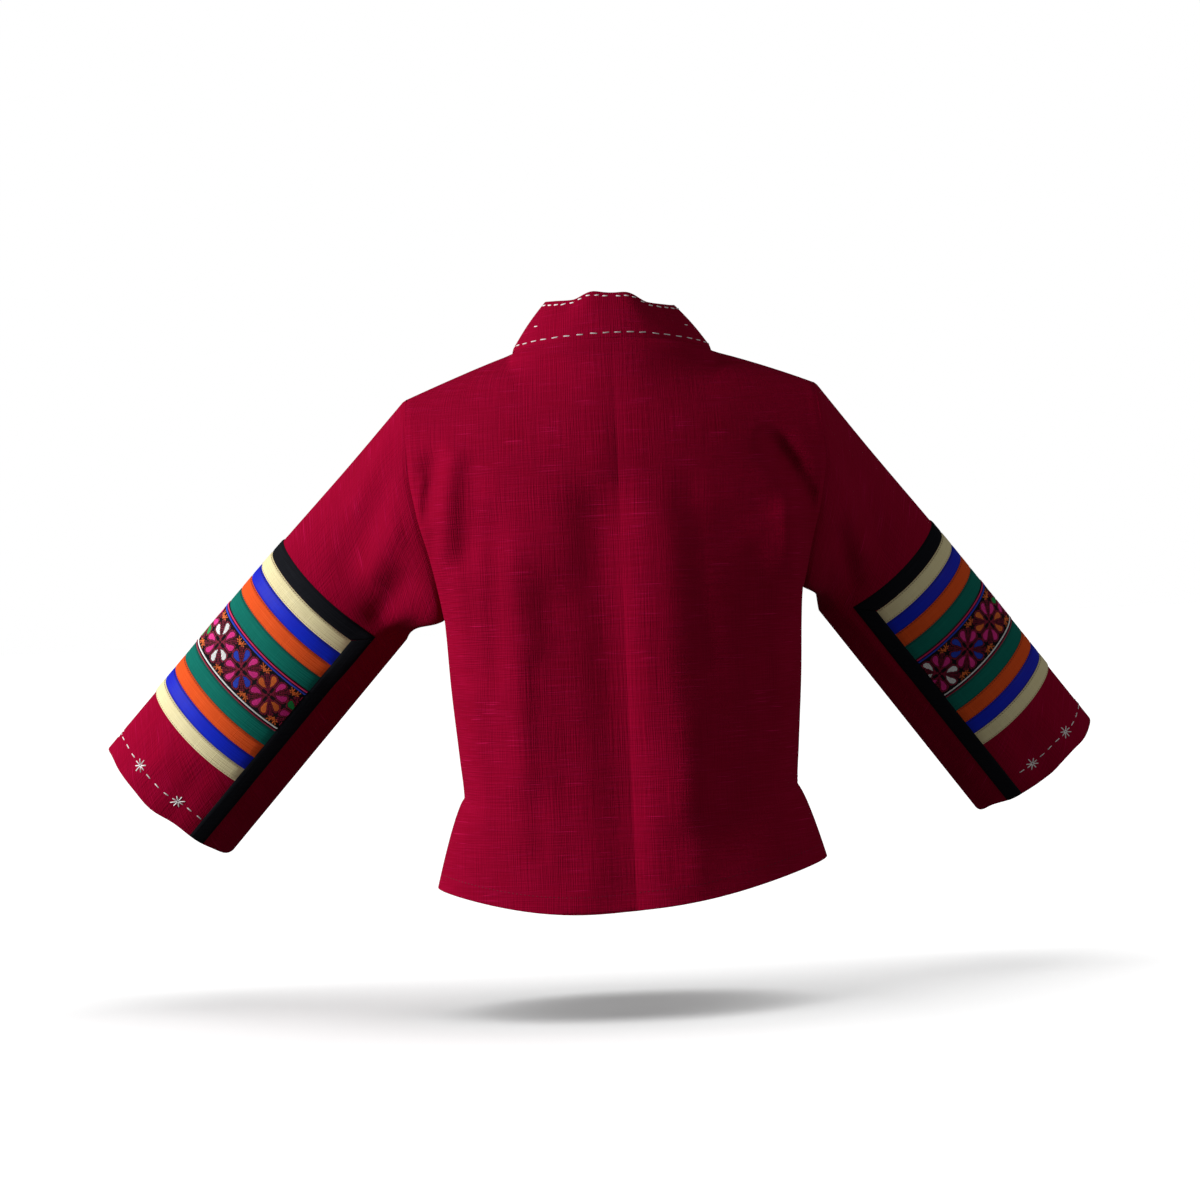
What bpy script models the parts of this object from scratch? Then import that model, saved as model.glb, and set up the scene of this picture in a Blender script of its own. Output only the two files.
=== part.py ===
"""Hmong embroidered jacket, hollow and open as if worn with nobody in it.

The frame is the garment's own: +Z up, the front faces -Y, the wearer's left is +X, and the
origin is the middle of the neck opening at the height of the shoulder-neck points.
Lengths in this file are millimetres; build_wall turns them into metres.
"""
import math
from collections import namedtuple

import bmesh
import bpy
from mathutils import Vector

MM = 0.001

# Cloth thicknesses and the gap that sewn pieces keep.
PANEL_WALL = 1.6
COLLAR_WALL = 2.4
STRIP_WALL = 1.1
SEAM_GAP = 0.3
HALF_GAP = SEAM_GAP / 2
COLLAR_GAP = 0.9
COLLAR_TILT = 0.06
COLLAR_TILT_FADE = 80.0
NECK_DROP_FADE = 0.3

# Neck, shoulder, slit and hem.
NECK_HALF_WIDTH = 101.0
NECK_BACK = 68.0
NECK_POINT_Z = 2.0
NECK_CENTRE_RISE = 4.0
SHOULDER_HALF_WIDTH = 207.0
SHOULDER_TIP_Z = -38.0
SHOULDER_SLOPE_POWER = 1.08
SHOULDER_ROUNDING = 118.0
SECTION_POWER = 2.3
SLIT_TOP_Z = -440.0
HEM_CORNER_Z = -519.0
HEM_DROP_BACK = 28.0
HEM_DROP_FRONT = 18.0
HEM_POWER = 2.6
HEM_TILT = 0.055
HEM_TILT_EASE = 0.35
FLARE_POWER = 0.75
ARMHOLE_HALF_DEPTH = 52.0
PULL_TOP_Z = -150.0
PULL_FADE = 175.0
PULL_POWER = 3.0
EDGE_POWER = 60.0
TIP_FADE = 90.0
TIP_POWER = 4
FLARE_SPREAD = 4
FOLD_EDGE_POWER = 20

NECK_FRACTION = NECK_HALF_WIDTH / SHOULDER_HALF_WIDTH

# The torso from neck to hem: half width at the side, depth at the centre of the back and of
# the front, and the power that rounds the section into the side (1 is a flat edge).
Section = namedtuple("Section", "z half_width back_depth front_depth side_power")
TORSO = (
    Section(10, 207, 78, 55, 1.00),
    Section(-38, 207, 90, 74, 1.00),
    Section(-110, 205.5, 103, 98, 0.92),
    Section(-160, 198.5, 107, 109, 0.80),
    Section(-205, 187.5, 107, 114, 0.64),
    Section(-256, 179, 104, 114, 0.50),
    Section(-330, 175, 98, 108, 0.45),
    Section(-400, 169.5, 95, 104, 0.45),
    Section(-440, 166.5, 95, 102, 0.45),
    Section(-520, 166, 101, 103, 0.50),
    Section(-560, 166, 103, 104, 0.50),
)

# Below the slit each panel hangs free: how far its corner stands out sideways and away.
Flare = namedtuple("Flare", "out away")
FLARES = {"back": Flare(28.0, 12.0), "front": Flare(8.0, 8.0)}

# Largest folds of the back: a soft trough (depth < 0) or ridge from one point to another.
Fold = namedtuple("Fold", "x_top z_top x_low z_low width depth")
BACK_FOLDS = (
    Fold(30, -120, 26, -545, 28, -8),
    Fold(-30, -150, -34, -545, 24, 5),
    Fold(106, -190, 100, -430, 24, 5),
    Fold(70, -230, 66, -520, 18, -4),
    Fold(161, -92, 172, -200, 12, 9),
    Fold(176, -98, 193, -165, 11, -11),
    Fold(146, -110, 152, -190, 11, -6),
    Fold(-152, -104, -190, -158, 14, -13),
    Fold(-160, -160, -172, -235, 15, 6),
    Fold(-100, -200, -108, -420, 26, 3),
)
FRONT_FOLDS = (
    Fold(172, -100, 190, -168, 13, -9),
    Fold(120, -180, 112, -420, 26, 5),
    Fold(-170, -104, -190, -165, 13, -9),
    Fold(-118, -190, -112, -430, 26, 5),
)

# How each side hangs: underarm height, how far the neck point and the shoulder tip are drawn
# in, the arm's angle below level and forward, how far the sleeve lies in from the tip, its half
# width at the top and at the cuff, its half depth, how far the underarm is lifted, how much
# shorter the underside is cut, and the angles that bound the black side border.
Side = namedtuple("Side", "name sign underarm_z neck_drop tip_in drop forward inset half_width_top "
                          "half_width_cuff half_depth lift slant border_in border_out")
SIDES = (
    Side("left", 1, -262.0, 0.0, 0.0, 45.4, 17.2, 0.0, 77.0, 84.0, 46.0, 5.0, 3.0, 119.5, 133.0),
    Side("right", -1, -244.0, 5.0, 7.0, 50.5, 23.4, 5.0, 70.0, 77.0, 40.0, 7.0, 10.0, 114.5, 129.0),
)
SLEEVE_LENGTH = 505.0
BLEND_END = 192.0
SLEEVE_FOLD = 0.15

# The pieced panel on each sleeve: strips in order from the shoulder, and their widths.
Strip = namedtuple("Strip", "name width colour")
STRIPS = (
    Strip("border_top", 18.5, "black"),
    Strip("cream_upper", 18.0, "cream"),
    Strip("blue_upper", 16.5, "blue"),
    Strip("orange_upper", 18.0, "orange"),
    Strip("green_upper", 20.0, "green"),
    Strip("embroidered", 58.0, "ground"),
    Strip("green_lower", 20.0, "green"),
    Strip("orange_lower", 18.0, "orange"),
    Strip("blue_lower", 17.0, "blue"),
    Strip("cream_lower", 17.5, "cream"),
)
PANEL_START = 199.0
MITRE_TIP = 1.2
CUFF_SETBACK = 0.4

# The collar and front band: where its free edge stands from its seam. Station 0 is the
# centre of the back, 1 the shoulder-neck point, 2 the hem of the front.
Lean = namedtuple("Lean", "station inward forward up")
COLLAR = (
    Lean(0.00, 0, 28, 47.5),
    Lean(0.16, 9, 27, 49),
    Lean(0.42, 24, 21.5, 42),
    Lean(0.67, 32, 13, 43.5),
    Lean(1.00, 37.5, 3, 45.5),
    Lean(1.06, 50, 9, 30),
    Lean(1.13, 54, 9, 19),
    Lean(1.22, 56, 8, 13),
    Lean(1.30, 57, 7, 8),
    Lean(1.40, 58, 7, 1),
    Lean(2.00, 58, 7, 0),
)
Opening = namedtuple("Opening", "down x")
FRONT_EDGE = (
    Opening(0.00, 101), Opening(0.07, 98), Opening(0.14, 90), Opening(0.22, 79),
    Opening(0.30, 68), Opening(0.38, 61.5), Opening(0.46, 60.5), Opening(1.00, 60.5),
)

# Grid steps.
ARMHOLE_ANGLES = (0.0, 13.0, 30.0, 50.0, 70.0, 90.0)
UNDERARM_ANGLES = (150.0, 166.0, 180.0)
SIDE_LEVELS = (-302.0, -350.0, -398.0, SLIT_TOP_Z, -478.0, HEM_CORNER_Z)
NECK_COLUMNS = 3
BACK_SIDE_COLUMNS = 7
FRONT_COLUMNS = 8
SLEEVE_CAP_RINGS = 4

# Where the front edge turns from the shoulder's width to the body's: start and reach of v.
EDGE_TURN_START = 0.3
EDGE_TURN_REACH = 0.2

# Narrow gaps, in degrees round the sleeve, between the strips and the side borders.
STRIP_GAP_ANGLE = 0.25
BORDER_GAP_ANGLE = 0.05
LEAST_MITRE = 0.2

# The inside of the neck, that the collar faces away from, and the way the front bands face.
NECK_MIDDLE = Vector((0, -25, 25))
BAND_OUTWARD = Vector((0, -1, 0.2))
BAND_TOP_Z = -25.0

# Colour, roughness of each cloth.
Finish = namedtuple("Finish", "red green blue roughness")
FINISHES = {
    "burgundy": Finish(0.30, 0.004, 0.040, 0.85),
    "black": Finish(0.006, 0.006, 0.010, 0.80),
    "ground": Finish(0.010, 0.008, 0.012, 0.85),
    "cream": Finish(0.80, 0.70, 0.42, 0.80),
    "blue": Finish(0.010, 0.030, 0.55, 0.35),
    "orange": Finish(0.75, 0.09, 0.012, 0.80),
    "green": Finish(0.010, 0.14, 0.070, 0.80),
}


def clamp(value, low, high):
    return max(low, min(high, value))


def smooth(value):
    """0 below 0, 1 above 1, an even S between."""
    value = clamp(value, 0.0, 1.0)
    return value * value * (3.0 - 2.0 * value)


def read(rows, column, key):
    """A table's column at a value of its first column, on a smooth curve through the rows."""
    keys = [row[0] for row in rows]
    values = [getattr(row, column) for row in rows]
    if keys[0] > keys[-1]:
        keys.reverse()
        values.reverse()
    key = clamp(key, keys[0], keys[-1])
    i = 0
    while i < len(keys) - 2 and key > keys[i + 1]:
        i += 1

    def slope(k):
        if k == 0 or k == len(keys) - 1:
            return 0.0
        before = (values[k] - values[k - 1]) / (keys[k] - keys[k - 1])
        after = (values[k + 1] - values[k]) / (keys[k + 1] - keys[k])
        if before * after <= 0.0:
            return 0.0
        return 2.0 * before * after / (before + after)

    span = keys[i + 1] - keys[i]
    t = (key - keys[i]) / span
    start, end = slope(i) * span, slope(i + 1) * span
    rise = values[i + 1] - values[i]
    return values[i] + t * (start + t * (3 * rise - 2 * start - end + t * (start + end - 2 * rise)))


def top_z(side, s):
    """Height of the neckline and shoulder seam at fraction s of the half width."""
    if s <= NECK_FRACTION:
        curve = (s / NECK_FRACTION) ** 2
        return NECK_POINT_Z + NECK_CENTRE_RISE * (1 - curve) - side.neck_drop * curve
    along = (s - NECK_FRACTION) / (1 - NECK_FRACTION)
    fall = (SHOULDER_TIP_Z - NECK_POINT_Z) * along ** SHOULDER_SLOPE_POWER
    return NECK_POINT_Z + fall - side.neck_drop * (1 - along)


def hem_z(s, sign, face):
    """Height of the hem, curved down at the centre and hanging lower on the left."""
    drop = HEM_DROP_BACK if face == "back" else HEM_DROP_FRONT
    level = HEM_CORNER_Z - drop * (1 - s ** HEM_POWER)
    return level - sign * HEM_TILT * s * SHOULDER_HALF_WIDTH * (1 - HEM_TILT_EASE * s * s)


def folds_at(x, z, face):
    total = 0.0
    for fold in BACK_FOLDS if face == "back" else FRONT_FOLDS:
        along = Vector((fold.x_low - fold.x_top, fold.z_low - fold.z_top))
        offset = Vector((x - fold.x_top, z - fold.z_top))
        length = along.length
        travel = offset.dot(along) / length
        across = (offset.x * along.y - offset.y * along.x) / length
        fade = smooth(travel / fold.width / 2 + 0.5) * smooth((length - travel) / fold.width / 2 + 0.5)
        total += fold.depth * fade * math.exp(-(across / fold.width) ** 2)
    return total


def armhole_middle(side):
    return (SHOULDER_TIP_Z + side.underarm_z) / 2


def armhole_half_height(side):
    return (SHOULDER_TIP_Z - side.underarm_z) / 2


def edge_away(side, z, face):
    """How far the panel's outer edge stands from the side seam's plane."""
    if z > side.underarm_z:
        level = (z - armhole_middle(side)) / armhole_half_height(side)
        return ARMHOLE_HALF_DEPTH * math.sqrt(max(0.0, 1 - level * level))
    return FLARES[face].away * slit_opening(z)


def pull_away(z, face):
    """The same pull as it spreads into the cloth, where it dies out below the underarm."""
    spread = ARMHOLE_HALF_DEPTH * (1 - smooth((PULL_TOP_Z - z) / PULL_FADE))
    return spread * shoulder_rise(SHOULDER_TIP_Z - z, 2.0) + FLARES[face].away * slit_opening(z)


def shoulder_rise(down, ease):
    """0 on the shoulder seam to 1 where its rounding ends."""
    down = clamp(down / SHOULDER_ROUNDING, 0.0, 1.0)
    return (1 - (1 - down) ** 2) ** (1 / ease)


def slit_opening(z):
    return clamp((SLIT_TOP_Z - z) / (SLIT_TOP_Z - HEM_CORNER_Z), 0.0, 1.2) ** FLARE_POWER


def body_away(side, s, z, face):
    """Distance of the cloth from the side plane, before the armhole draws its edge out."""
    depth = read(TORSO, face + "_depth", z)
    round_off = (1 - s ** SECTION_POWER) ** read(TORSO, "side_power", z)
    start = 0.0
    ease = 2.0
    if s < NECK_FRACTION:
        if face == "back":
            start = NECK_BACK * math.sqrt(1 - (s / NECK_FRACTION) ** 2)
        ease = 1.0 + smooth(s / NECK_FRACTION) if face == "back" else 2.0
    rise = shoulder_rise(top_z(side, s) - z, ease)
    return start + (depth * round_off - start) * rise, rise


def torso_point(side, face, s, v):
    """A point of the outer surface: s from centre to side, v from the top edge to the hem."""
    corner = hem_z(1.0, side.sign, face)
    edge_z = SHOULDER_TIP_Z + (corner - SHOULDER_TIP_Z) * v
    top = top_z(side, s)
    z = top + (hem_z(s, side.sign, face) - top) * v
    x = s * read(TORSO, "half_width", z) + FLARES[face].out * slit_opening(edge_z) * s ** FLARE_SPREAD
    x -= side.tip_in * (1 - smooth((SHOULDER_TIP_Z - z) / TIP_FADE)) * s ** TIP_POWER
    away, rise = body_away(side, s, z, face)
    pull = pull_away(edge_z, face)
    away += pull * s ** PULL_POWER + (edge_away(side, edge_z, face) - pull) * s ** EDGE_POWER
    away += folds_at(side.sign * x, z, face) * rise * (1 - s ** FOLD_EDGE_POWER)
    return Vector((side.sign * x, away if face == "back" else -away, z))


def row_levels(side, face):
    """v of each grid row: the armhole's angles, then the levels of the side seam."""
    angles = ARMHOLE_ANGLES + (side.border_in, side.border_out) + UNDERARM_ANGLES
    middle, half = armhole_middle(side), armhole_half_height(side)
    levels = [middle + half * math.cos(math.radians(angle)) for angle in angles]
    levels += SIDE_LEVELS
    corner = hem_z(1.0, side.sign, face)
    heights = levels[:-1] + [corner]
    return [(SHOULDER_TIP_Z - z) / (SHOULDER_TIP_Z - corner) for z in heights], len(angles)


def back_columns():
    steps = [math.sin(math.pi / 2 * k / NECK_COLUMNS) * NECK_FRACTION for k in range(NECK_COLUMNS)]
    for k in range(BACK_SIDE_COLUMNS + 1):
        steps.append(NECK_FRACTION + (1 - NECK_FRACTION) * math.sin(math.pi / 2 * k / BACK_SIDE_COLUMNS))
    return steps


def front_fraction(t, v):
    """Fraction of the half width at step t from the front edge to the side."""
    inner = read(FRONT_EDGE, "x", v) / SHOULDER_HALF_WIDTH
    if v > EDGE_TURN_START:
        z = SHOULDER_TIP_Z + (HEM_CORNER_Z - SHOULDER_TIP_Z) * v
        lower = read(FRONT_EDGE, "x", v) / read(TORSO, "half_width", z)
        inner += (lower - inner) * smooth((v - EDGE_TURN_START) / EDGE_TURN_REACH)
    return inner + (1 - inner) * math.sin(math.pi / 2 * t)


def torso_grid(side, face):
    rows, _ = row_levels(side, face)
    if face == "back":
        return [[torso_point(side, face, s, v) for s in back_columns()] for v in rows]
    steps = [k / FRONT_COLUMNS for k in range(FRONT_COLUMNS + 1)]
    return [[torso_point(side, face, front_fraction(t, v), v) for t in steps] for v in rows]


def grid_normals(grid, outward, closed=False):
    """Unit normals of a grid of points, turned to the side that outward(row, column) gives."""
    rows, columns = len(grid), len(grid[0])
    normals = []
    for i in range(rows):
        line = []
        for j in range(columns):
            before = (j - 1) % columns if closed else max(j - 1, 0)
            after = (j + 1) % columns if closed else min(j + 1, columns - 1)
            down = grid[min(i + 1, rows - 1)][j] - grid[max(i - 1, 0)][j]
            across = grid[i][after] - grid[i][before]
            normal = across.cross(down).normalized()
            line.append(normal if normal.dot(outward(i, j)) > 0 else -normal)
        normals.append(line)
    return normals


def sleeve_axes(side):
    """The sleeve's direction, its outward and its backward directions across it."""
    drop, forward = math.radians(side.drop), math.radians(side.forward)
    along = Vector((side.sign * math.cos(forward) * math.cos(drop), -math.sin(forward),
                    -math.cos(forward) * math.sin(drop)))
    outward = Vector((side.sign * math.sin(drop), 0, math.cos(drop)))
    backward = Vector((side.sign * math.sin(forward) * math.cos(drop), math.cos(forward),
                       -math.sin(forward) * math.sin(drop)))
    return along, outward, backward


def armhole_point(side, angle):
    """The seam of torso and sleeve, angle 0 at the shoulder, 90 at the back, 270 in front."""
    turn = math.radians(angle)
    z = armhole_middle(side) + armhole_half_height(side) * math.cos(turn)
    face = "back" if math.sin(turn) >= 0 else "front"
    v = (SHOULDER_TIP_Z - z) / (SHOULDER_TIP_Z - hem_z(1.0, side.sign, face))
    return torso_point(side, face, 1.0, v)


def tube_point(side, angle, q, lift=0.0):
    """A point of the straight sleeve, q from the shoulder tip, lifted off its surface."""
    along, outward, backward = sleeve_axes(side)
    turn = math.radians(angle)
    half_width = side.half_width_top + (side.half_width_cuff - side.half_width_top) * q / SLEEVE_LENGTH
    depth = side.half_depth * math.sin(turn) * (1 - SLEEVE_FOLD * math.cos(turn) ** 2)
    point = Vector((side.sign * SHOULDER_HALF_WIDTH, 0, SHOULDER_TIP_Z)) + along * q
    point += outward * (half_width * (math.cos(turn) - 1) - side.inset) + backward * depth
    normal = outward * (math.cos(turn) / half_width) + backward * (math.sin(turn) / side.half_depth)
    return point + normal.normalized() * lift


def cuff_q(side, angle):
    """Where the cuff edge is cut at an angle round the sleeve."""
    return SLEEVE_LENGTH - side.slant * (1 - math.cos(math.radians(angle))) / 2


def sleeve_point(side, angle, step):
    """A point of the sleeve: step 0 on the armhole, 1 where the straight tube begins."""
    seam = armhole_point(side, angle)
    along, outward, _ = sleeve_axes(side)
    start = (seam - tube_point(side, 0.0, 0.0)).dot(along)
    q = start + (BLEND_END - start) * step
    point = tube_point(side, angle, q) + (seam - tube_point(side, angle, start)) * (1 - smooth(step))
    below = max(0.0, -math.cos(math.radians(angle)))
    return point + outward * side.lift * below * 4 * step * (1 - step)


def sleeve_angles(side):
    half = ARMHOLE_ANGLES + (side.border_in, side.border_out) + UNDERARM_ANGLES
    return list(half) + [360.0 - angle for angle in reversed(half[1:-1])]


def mitre(panel_normal, sleeve_normal):
    return (panel_normal + sleeve_normal) / max(LEAST_MITRE, 1 + panel_normal.dot(sleeve_normal))


def sleeve_grid(side):
    angles = sleeve_angles(side)
    grid = [[sleeve_point(side, angle, k / SLEEVE_CAP_RINGS) for angle in angles]
            for k in range(SLEEVE_CAP_RINGS + 1)]
    grid.append([tube_point(side, angle, cuff_q(side, angle)) for angle in angles])
    return grid


def sleeve_normals(grid):
    centres = [sum(ring, Vector()) / len(ring) for ring in grid]
    return grid_normals(grid, lambda i, j: grid[i][j] - centres[i], closed=True)


def panel_normals(side, face, grid):
    """Normals of a panel, set square to the planes of its straight seams."""
    turn = 1 if face == "back" else -1

    def outward(i, j):
        return Vector((grid[i][j].x * 0.3, grid[i][j].y + turn * 8, 1.0))

    normals = grid_normals(grid, outward)
    _, seam_rows = row_levels(side, face)
    for i, line in enumerate(normals):
        if face == "back":
            line[0].x = 0.0
        in_seam = i >= seam_rows - 1 and grid[i][-1].z > SLIT_TOP_Z - 1
        if in_seam:
            line[-1] = Vector((side.sign, 0.0, 0.0))
        elif i == 0:
            for j, normal in enumerate(line):
                if face == "front" or j >= NECK_COLUMNS:
                    normal.y = 0.0
    return [[normal.normalized() for normal in line] for line in normals]


def seam_frames(side):
    """For each sleeve angle: the mitred wall direction and the way across the seam."""
    angles = sleeve_angles(side)
    grids = {face: torso_grid(side, face) for face in ("back", "front")}
    normals = {face: panel_normals(side, face, grids[face]) for face in grids}
    ring = sleeve_grid(side)
    ring_normals = sleeve_normals(ring)[0]
    half = len(angles) // 2
    frames = []
    for k in range(len(angles)):
        face, row = ("back", k) if k <= half else ("front", len(angles) - k)
        wall = mitre(normals[face][row][-1], ring_normals[k])
        if k in (0, half):
            wall.y = 0.0
        tangent = ring[0][(k + 1) % len(angles)] - ring[0][k - 1]
        across = tangent.cross(wall).normalized()
        if across.x * side.sign < 0:
            across = -across
        frames.append((wall, across))
    return frames


def build_wall(name, outer, inner, colour, closed=False):
    """One closed solid between two grids of points, joined round their edges."""
    mesh = bpy.data.meshes.new(name)
    bm = bmesh.new()
    sheets = [[[bm.verts.new(p * MM) for p in line] for line in grid] for grid in (outer, inner)]
    rows, columns = len(outer), len(outer[0])
    spans = [(j, (j + 1) % columns) for j in range(columns if closed else columns - 1)]
    for sheet in sheets:
        for i in range(rows - 1):
            for j, k in spans:
                bm.faces.new((sheet[i][j], sheet[i][k], sheet[i + 1][k], sheet[i + 1][j]))
    for i in (0, rows - 1):
        for j, k in spans:
            bm.faces.new((sheets[0][i][j], sheets[0][i][k], sheets[1][i][k], sheets[1][i][j]))
    if not closed:
        for j in (0, columns - 1):
            for i in range(rows - 1):
                bm.faces.new((sheets[0][i][j], sheets[0][i + 1][j], sheets[1][i + 1][j], sheets[1][i][j]))
    bmesh.ops.recalc_face_normals(bm, faces=bm.faces)
    bmesh.ops.triangulate(bm, faces=bm.faces)
    bm.to_mesh(mesh)
    bm.free()
    mesh.materials.append(material(colour))
    body = bpy.data.objects.new(name, mesh)
    bpy.data.collections["hmong_jacket"].objects.link(body)
    return body


def material(name):
    if name in bpy.data.materials:
        return bpy.data.materials[name]
    finish = FINISHES[name]
    made = bpy.data.materials.new(name)
    made.use_nodes = True
    shader = made.node_tree.nodes["Principled BSDF"]
    shader.inputs["Base Color"].default_value = (finish.red, finish.green, finish.blue, 1)
    shader.inputs["Roughness"].default_value = finish.roughness
    shader.inputs["Metallic"].default_value = 0.0
    return made


def build_panel(side, face):
    outer = torso_grid(side, face)
    normals = panel_normals(side, face, outer)
    inner = [[p - n * PANEL_WALL for p, n in zip(*lines)] for lines in zip(outer, normals)]
    _, seam_rows = row_levels(side, face)
    frames = seam_frames(side)
    for i in range(seam_rows):
        wall, across = frames[i if face == "back" else -i]
        inner[i][-1] = outer[i][-1] - wall * PANEL_WALL - across * HALF_GAP
        outer[i][-1] = outer[i][-1] - across * HALF_GAP
    away = HALF_GAP if face == "back" else -HALF_GAP
    for grid in (outer, inner):
        for j, point in enumerate(grid[0]):
            if face == "front" or j >= NECK_COLUMNS:
                point.y = away
        for i in range(seam_rows - 1, len(grid)):
            if grid[i][-1].z > SLIT_TOP_Z - 1:
                grid[i][-1].y = away
        if face == "back":
            for line in grid:
                line[0].x = side.sign * HALF_GAP
    build_wall(f"{face}_{side.name}", outer, inner, "burgundy")


def build_sleeve(side):
    outer = sleeve_grid(side)
    normals = sleeve_normals(outer)
    inner = [[p - n * PANEL_WALL for p, n in zip(*lines)] for lines in zip(outer, normals)]
    for k, (wall, across) in enumerate(seam_frames(side)):
        inner[0][k] = outer[0][k] - wall * PANEL_WALL + across * HALF_GAP
        outer[0][k] = outer[0][k] + across * HALF_GAP
    build_wall(f"sleeve_{side.name}", outer, inner, "burgundy", closed=True)


def build_strip(side, name, colour, angles, starts, ends):
    """A strip sewn on the sleeve, from q in starts to q in ends at each angle round it."""
    low, high = SEAM_GAP, SEAM_GAP + STRIP_WALL
    sheets = [[[tube_point(side, angle, q, lift) for angle, q in zip(angles, line)]
               for line in (starts, ends)] for lift in (high, low)]
    build_wall(f"{name}_{side.name}", sheets[0], sheets[1], colour)


def build_sleeve_panel(side):
    """Ten strips across the sleeve, and a black border down each side to the cuff."""
    half = [a for a in ARMHOLE_ANGLES if a > 0] + [side.border_in]
    angles = [-a for a in reversed(half)] + [0.0] + half
    q = PANEL_START
    for strip in STRIPS:
        first, last = q + HALF_GAP, q + strip.width - HALF_GAP
        if strip.name == "border_top":
            wide = [-side.border_out] + angles + [side.border_out]
            ends = [first + MITRE_TIP] + [last] * len(angles) + [first + MITRE_TIP]
            build_strip(side, strip.name, strip.colour, wide, [first] * len(wide), ends)
        else:
            inside = [angles[0] + STRIP_GAP_ANGLE] + angles[1:-1] + [angles[-1] - STRIP_GAP_ANGLE]
            build_strip(side, strip.name, strip.colour, inside, [first] * len(angles), [last] * len(angles))
        q += strip.width
    for face, turn in (("back", 1), ("front", -1)):
        border = [turn * (side.border_in + BORDER_GAP_ANGLE), turn * side.border_out]
        corner = STRIPS[0].width
        starts = [PANEL_START + corner + 2 * HALF_GAP, PANEL_START + MITRE_TIP + 4 * HALF_GAP]
        ends = [cuff_q(side, angle) - CUFF_SETBACK for angle in border]
        build_strip(side, f"border_{face}", "black", border, starts, ends)


def collar_stations(side):
    """The edge that the band is sewn to: station, and point of the outer surface."""
    back = torso_grid(side, "back")[0][:NECK_COLUMNS]
    rows, _ = row_levels(side, "front")
    front = [line[0] for line in torso_grid(side, "front")]
    stations = [(k / NECK_COLUMNS, p) for k, p in enumerate(back)]
    return stations + [(1 + v, p) for v, p in zip(rows, front)]


def build_collar(side):
    """The stand at the back of the neck, running on down the front edge to the hem."""
    seam, free = [], []
    for station, point in collar_stations(side):
        lean = Vector((-side.sign * read(COLLAR, "inward", station), -read(COLLAR, "forward", station),
                       read(COLLAR, "up", station)))
        lean.z += COLLAR_TILT * (point.x + lean.x) * smooth(1 + point.z / COLLAR_TILT_FADE)
        lean.z += side.neck_drop * min(1.0, station) ** 2 * (1 - smooth((station - 1) / NECK_DROP_FADE))
        seam.append(point + lean.normalized() * COLLAR_GAP)
        free.append(point + lean)
    outer = [seam, free]

    def outward(i, j):
        point = outer[i][j]
        return point - NECK_MIDDLE if point.z > BAND_TOP_Z else BAND_OUTWARD

    normals = grid_normals(outer, outward)
    inner = [[p - n * COLLAR_WALL for p, n in zip(*lines)] for lines in zip(outer, normals)]
    for grid in (outer, inner):
        for line in grid:
            line[0].x = side.sign * HALF_GAP
    build_wall(f"collar_{side.name}", outer, inner, "burgundy")


def main():
    for old in list(bpy.data.objects):
        bpy.data.objects.remove(old)
    if "hmong_jacket" not in bpy.data.collections:
        bpy.context.scene.collection.children.link(bpy.data.collections.new("hmong_jacket"))
    for side in SIDES:
        for face in ("back", "front"):
            build_panel(side, face)
        build_sleeve(side)
        build_sleeve_panel(side)
        build_collar(side)


main()
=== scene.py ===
"""Looks of the embroidered jacket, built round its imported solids.

Every length here is in millimetres in the garment's own frame, and turns into metres where a
mesh is made: +Z up, the front faces -Y, the wearer's left is +X, origin in the neck opening.
"""
import math
from collections import namedtuple

import bmesh
import bpy
import numpy as np
from mathutils import Matrix, Vector


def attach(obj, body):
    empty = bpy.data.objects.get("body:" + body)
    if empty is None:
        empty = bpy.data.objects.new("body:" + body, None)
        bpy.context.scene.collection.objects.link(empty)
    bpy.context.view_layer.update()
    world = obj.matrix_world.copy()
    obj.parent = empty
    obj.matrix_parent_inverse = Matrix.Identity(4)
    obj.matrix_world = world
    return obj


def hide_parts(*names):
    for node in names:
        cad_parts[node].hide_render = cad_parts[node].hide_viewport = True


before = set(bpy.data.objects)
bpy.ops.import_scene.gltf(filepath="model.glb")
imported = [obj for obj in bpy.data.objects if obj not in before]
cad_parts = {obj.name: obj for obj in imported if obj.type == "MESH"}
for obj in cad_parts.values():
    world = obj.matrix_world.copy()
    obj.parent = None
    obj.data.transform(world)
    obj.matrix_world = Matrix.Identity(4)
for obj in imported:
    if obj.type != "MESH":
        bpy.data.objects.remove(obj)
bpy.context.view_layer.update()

MM = 0.001

# ---------------------------------------------------------------- the form, as in the solids
NECK_HALF_WIDTH = 101.0
NECK_BACK = 68.0
NECK_POINT_Z = 2.0
NECK_CENTRE_RISE = 4.0
SHOULDER_HALF_WIDTH = 207.0
SHOULDER_TIP_Z = -38.0
SHOULDER_SLOPE_POWER = 1.08
SHOULDER_ROUNDING = 118.0
SECTION_POWER = 2.3
SLIT_TOP_Z = -440.0
NECK_SOFTEN, NECK_SOFTEN_REACH = 1.3, 45.0
HEM_CORNER_Z = -519.0
HEM_DROP = {"back": 28.0, "front": 18.0}
HEM_POWER = 2.6
HEM_TILT = 0.055
FLARE_POWER = 0.75
ARMHOLE_HALF_DEPTH = 52.0
PULL_TOP_Z = -150.0
PULL_FADE = 175.0
PULL_POWER = 3.0
EDGE_POWER = 60.0
TIP_FADE = 90.0
TIP_POWER = 4
FLARE_SPREAD = 4
FOLD_EDGE_POWER = 20
NECK_FRACTION = NECK_HALF_WIDTH / SHOULDER_HALF_WIDTH

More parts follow.
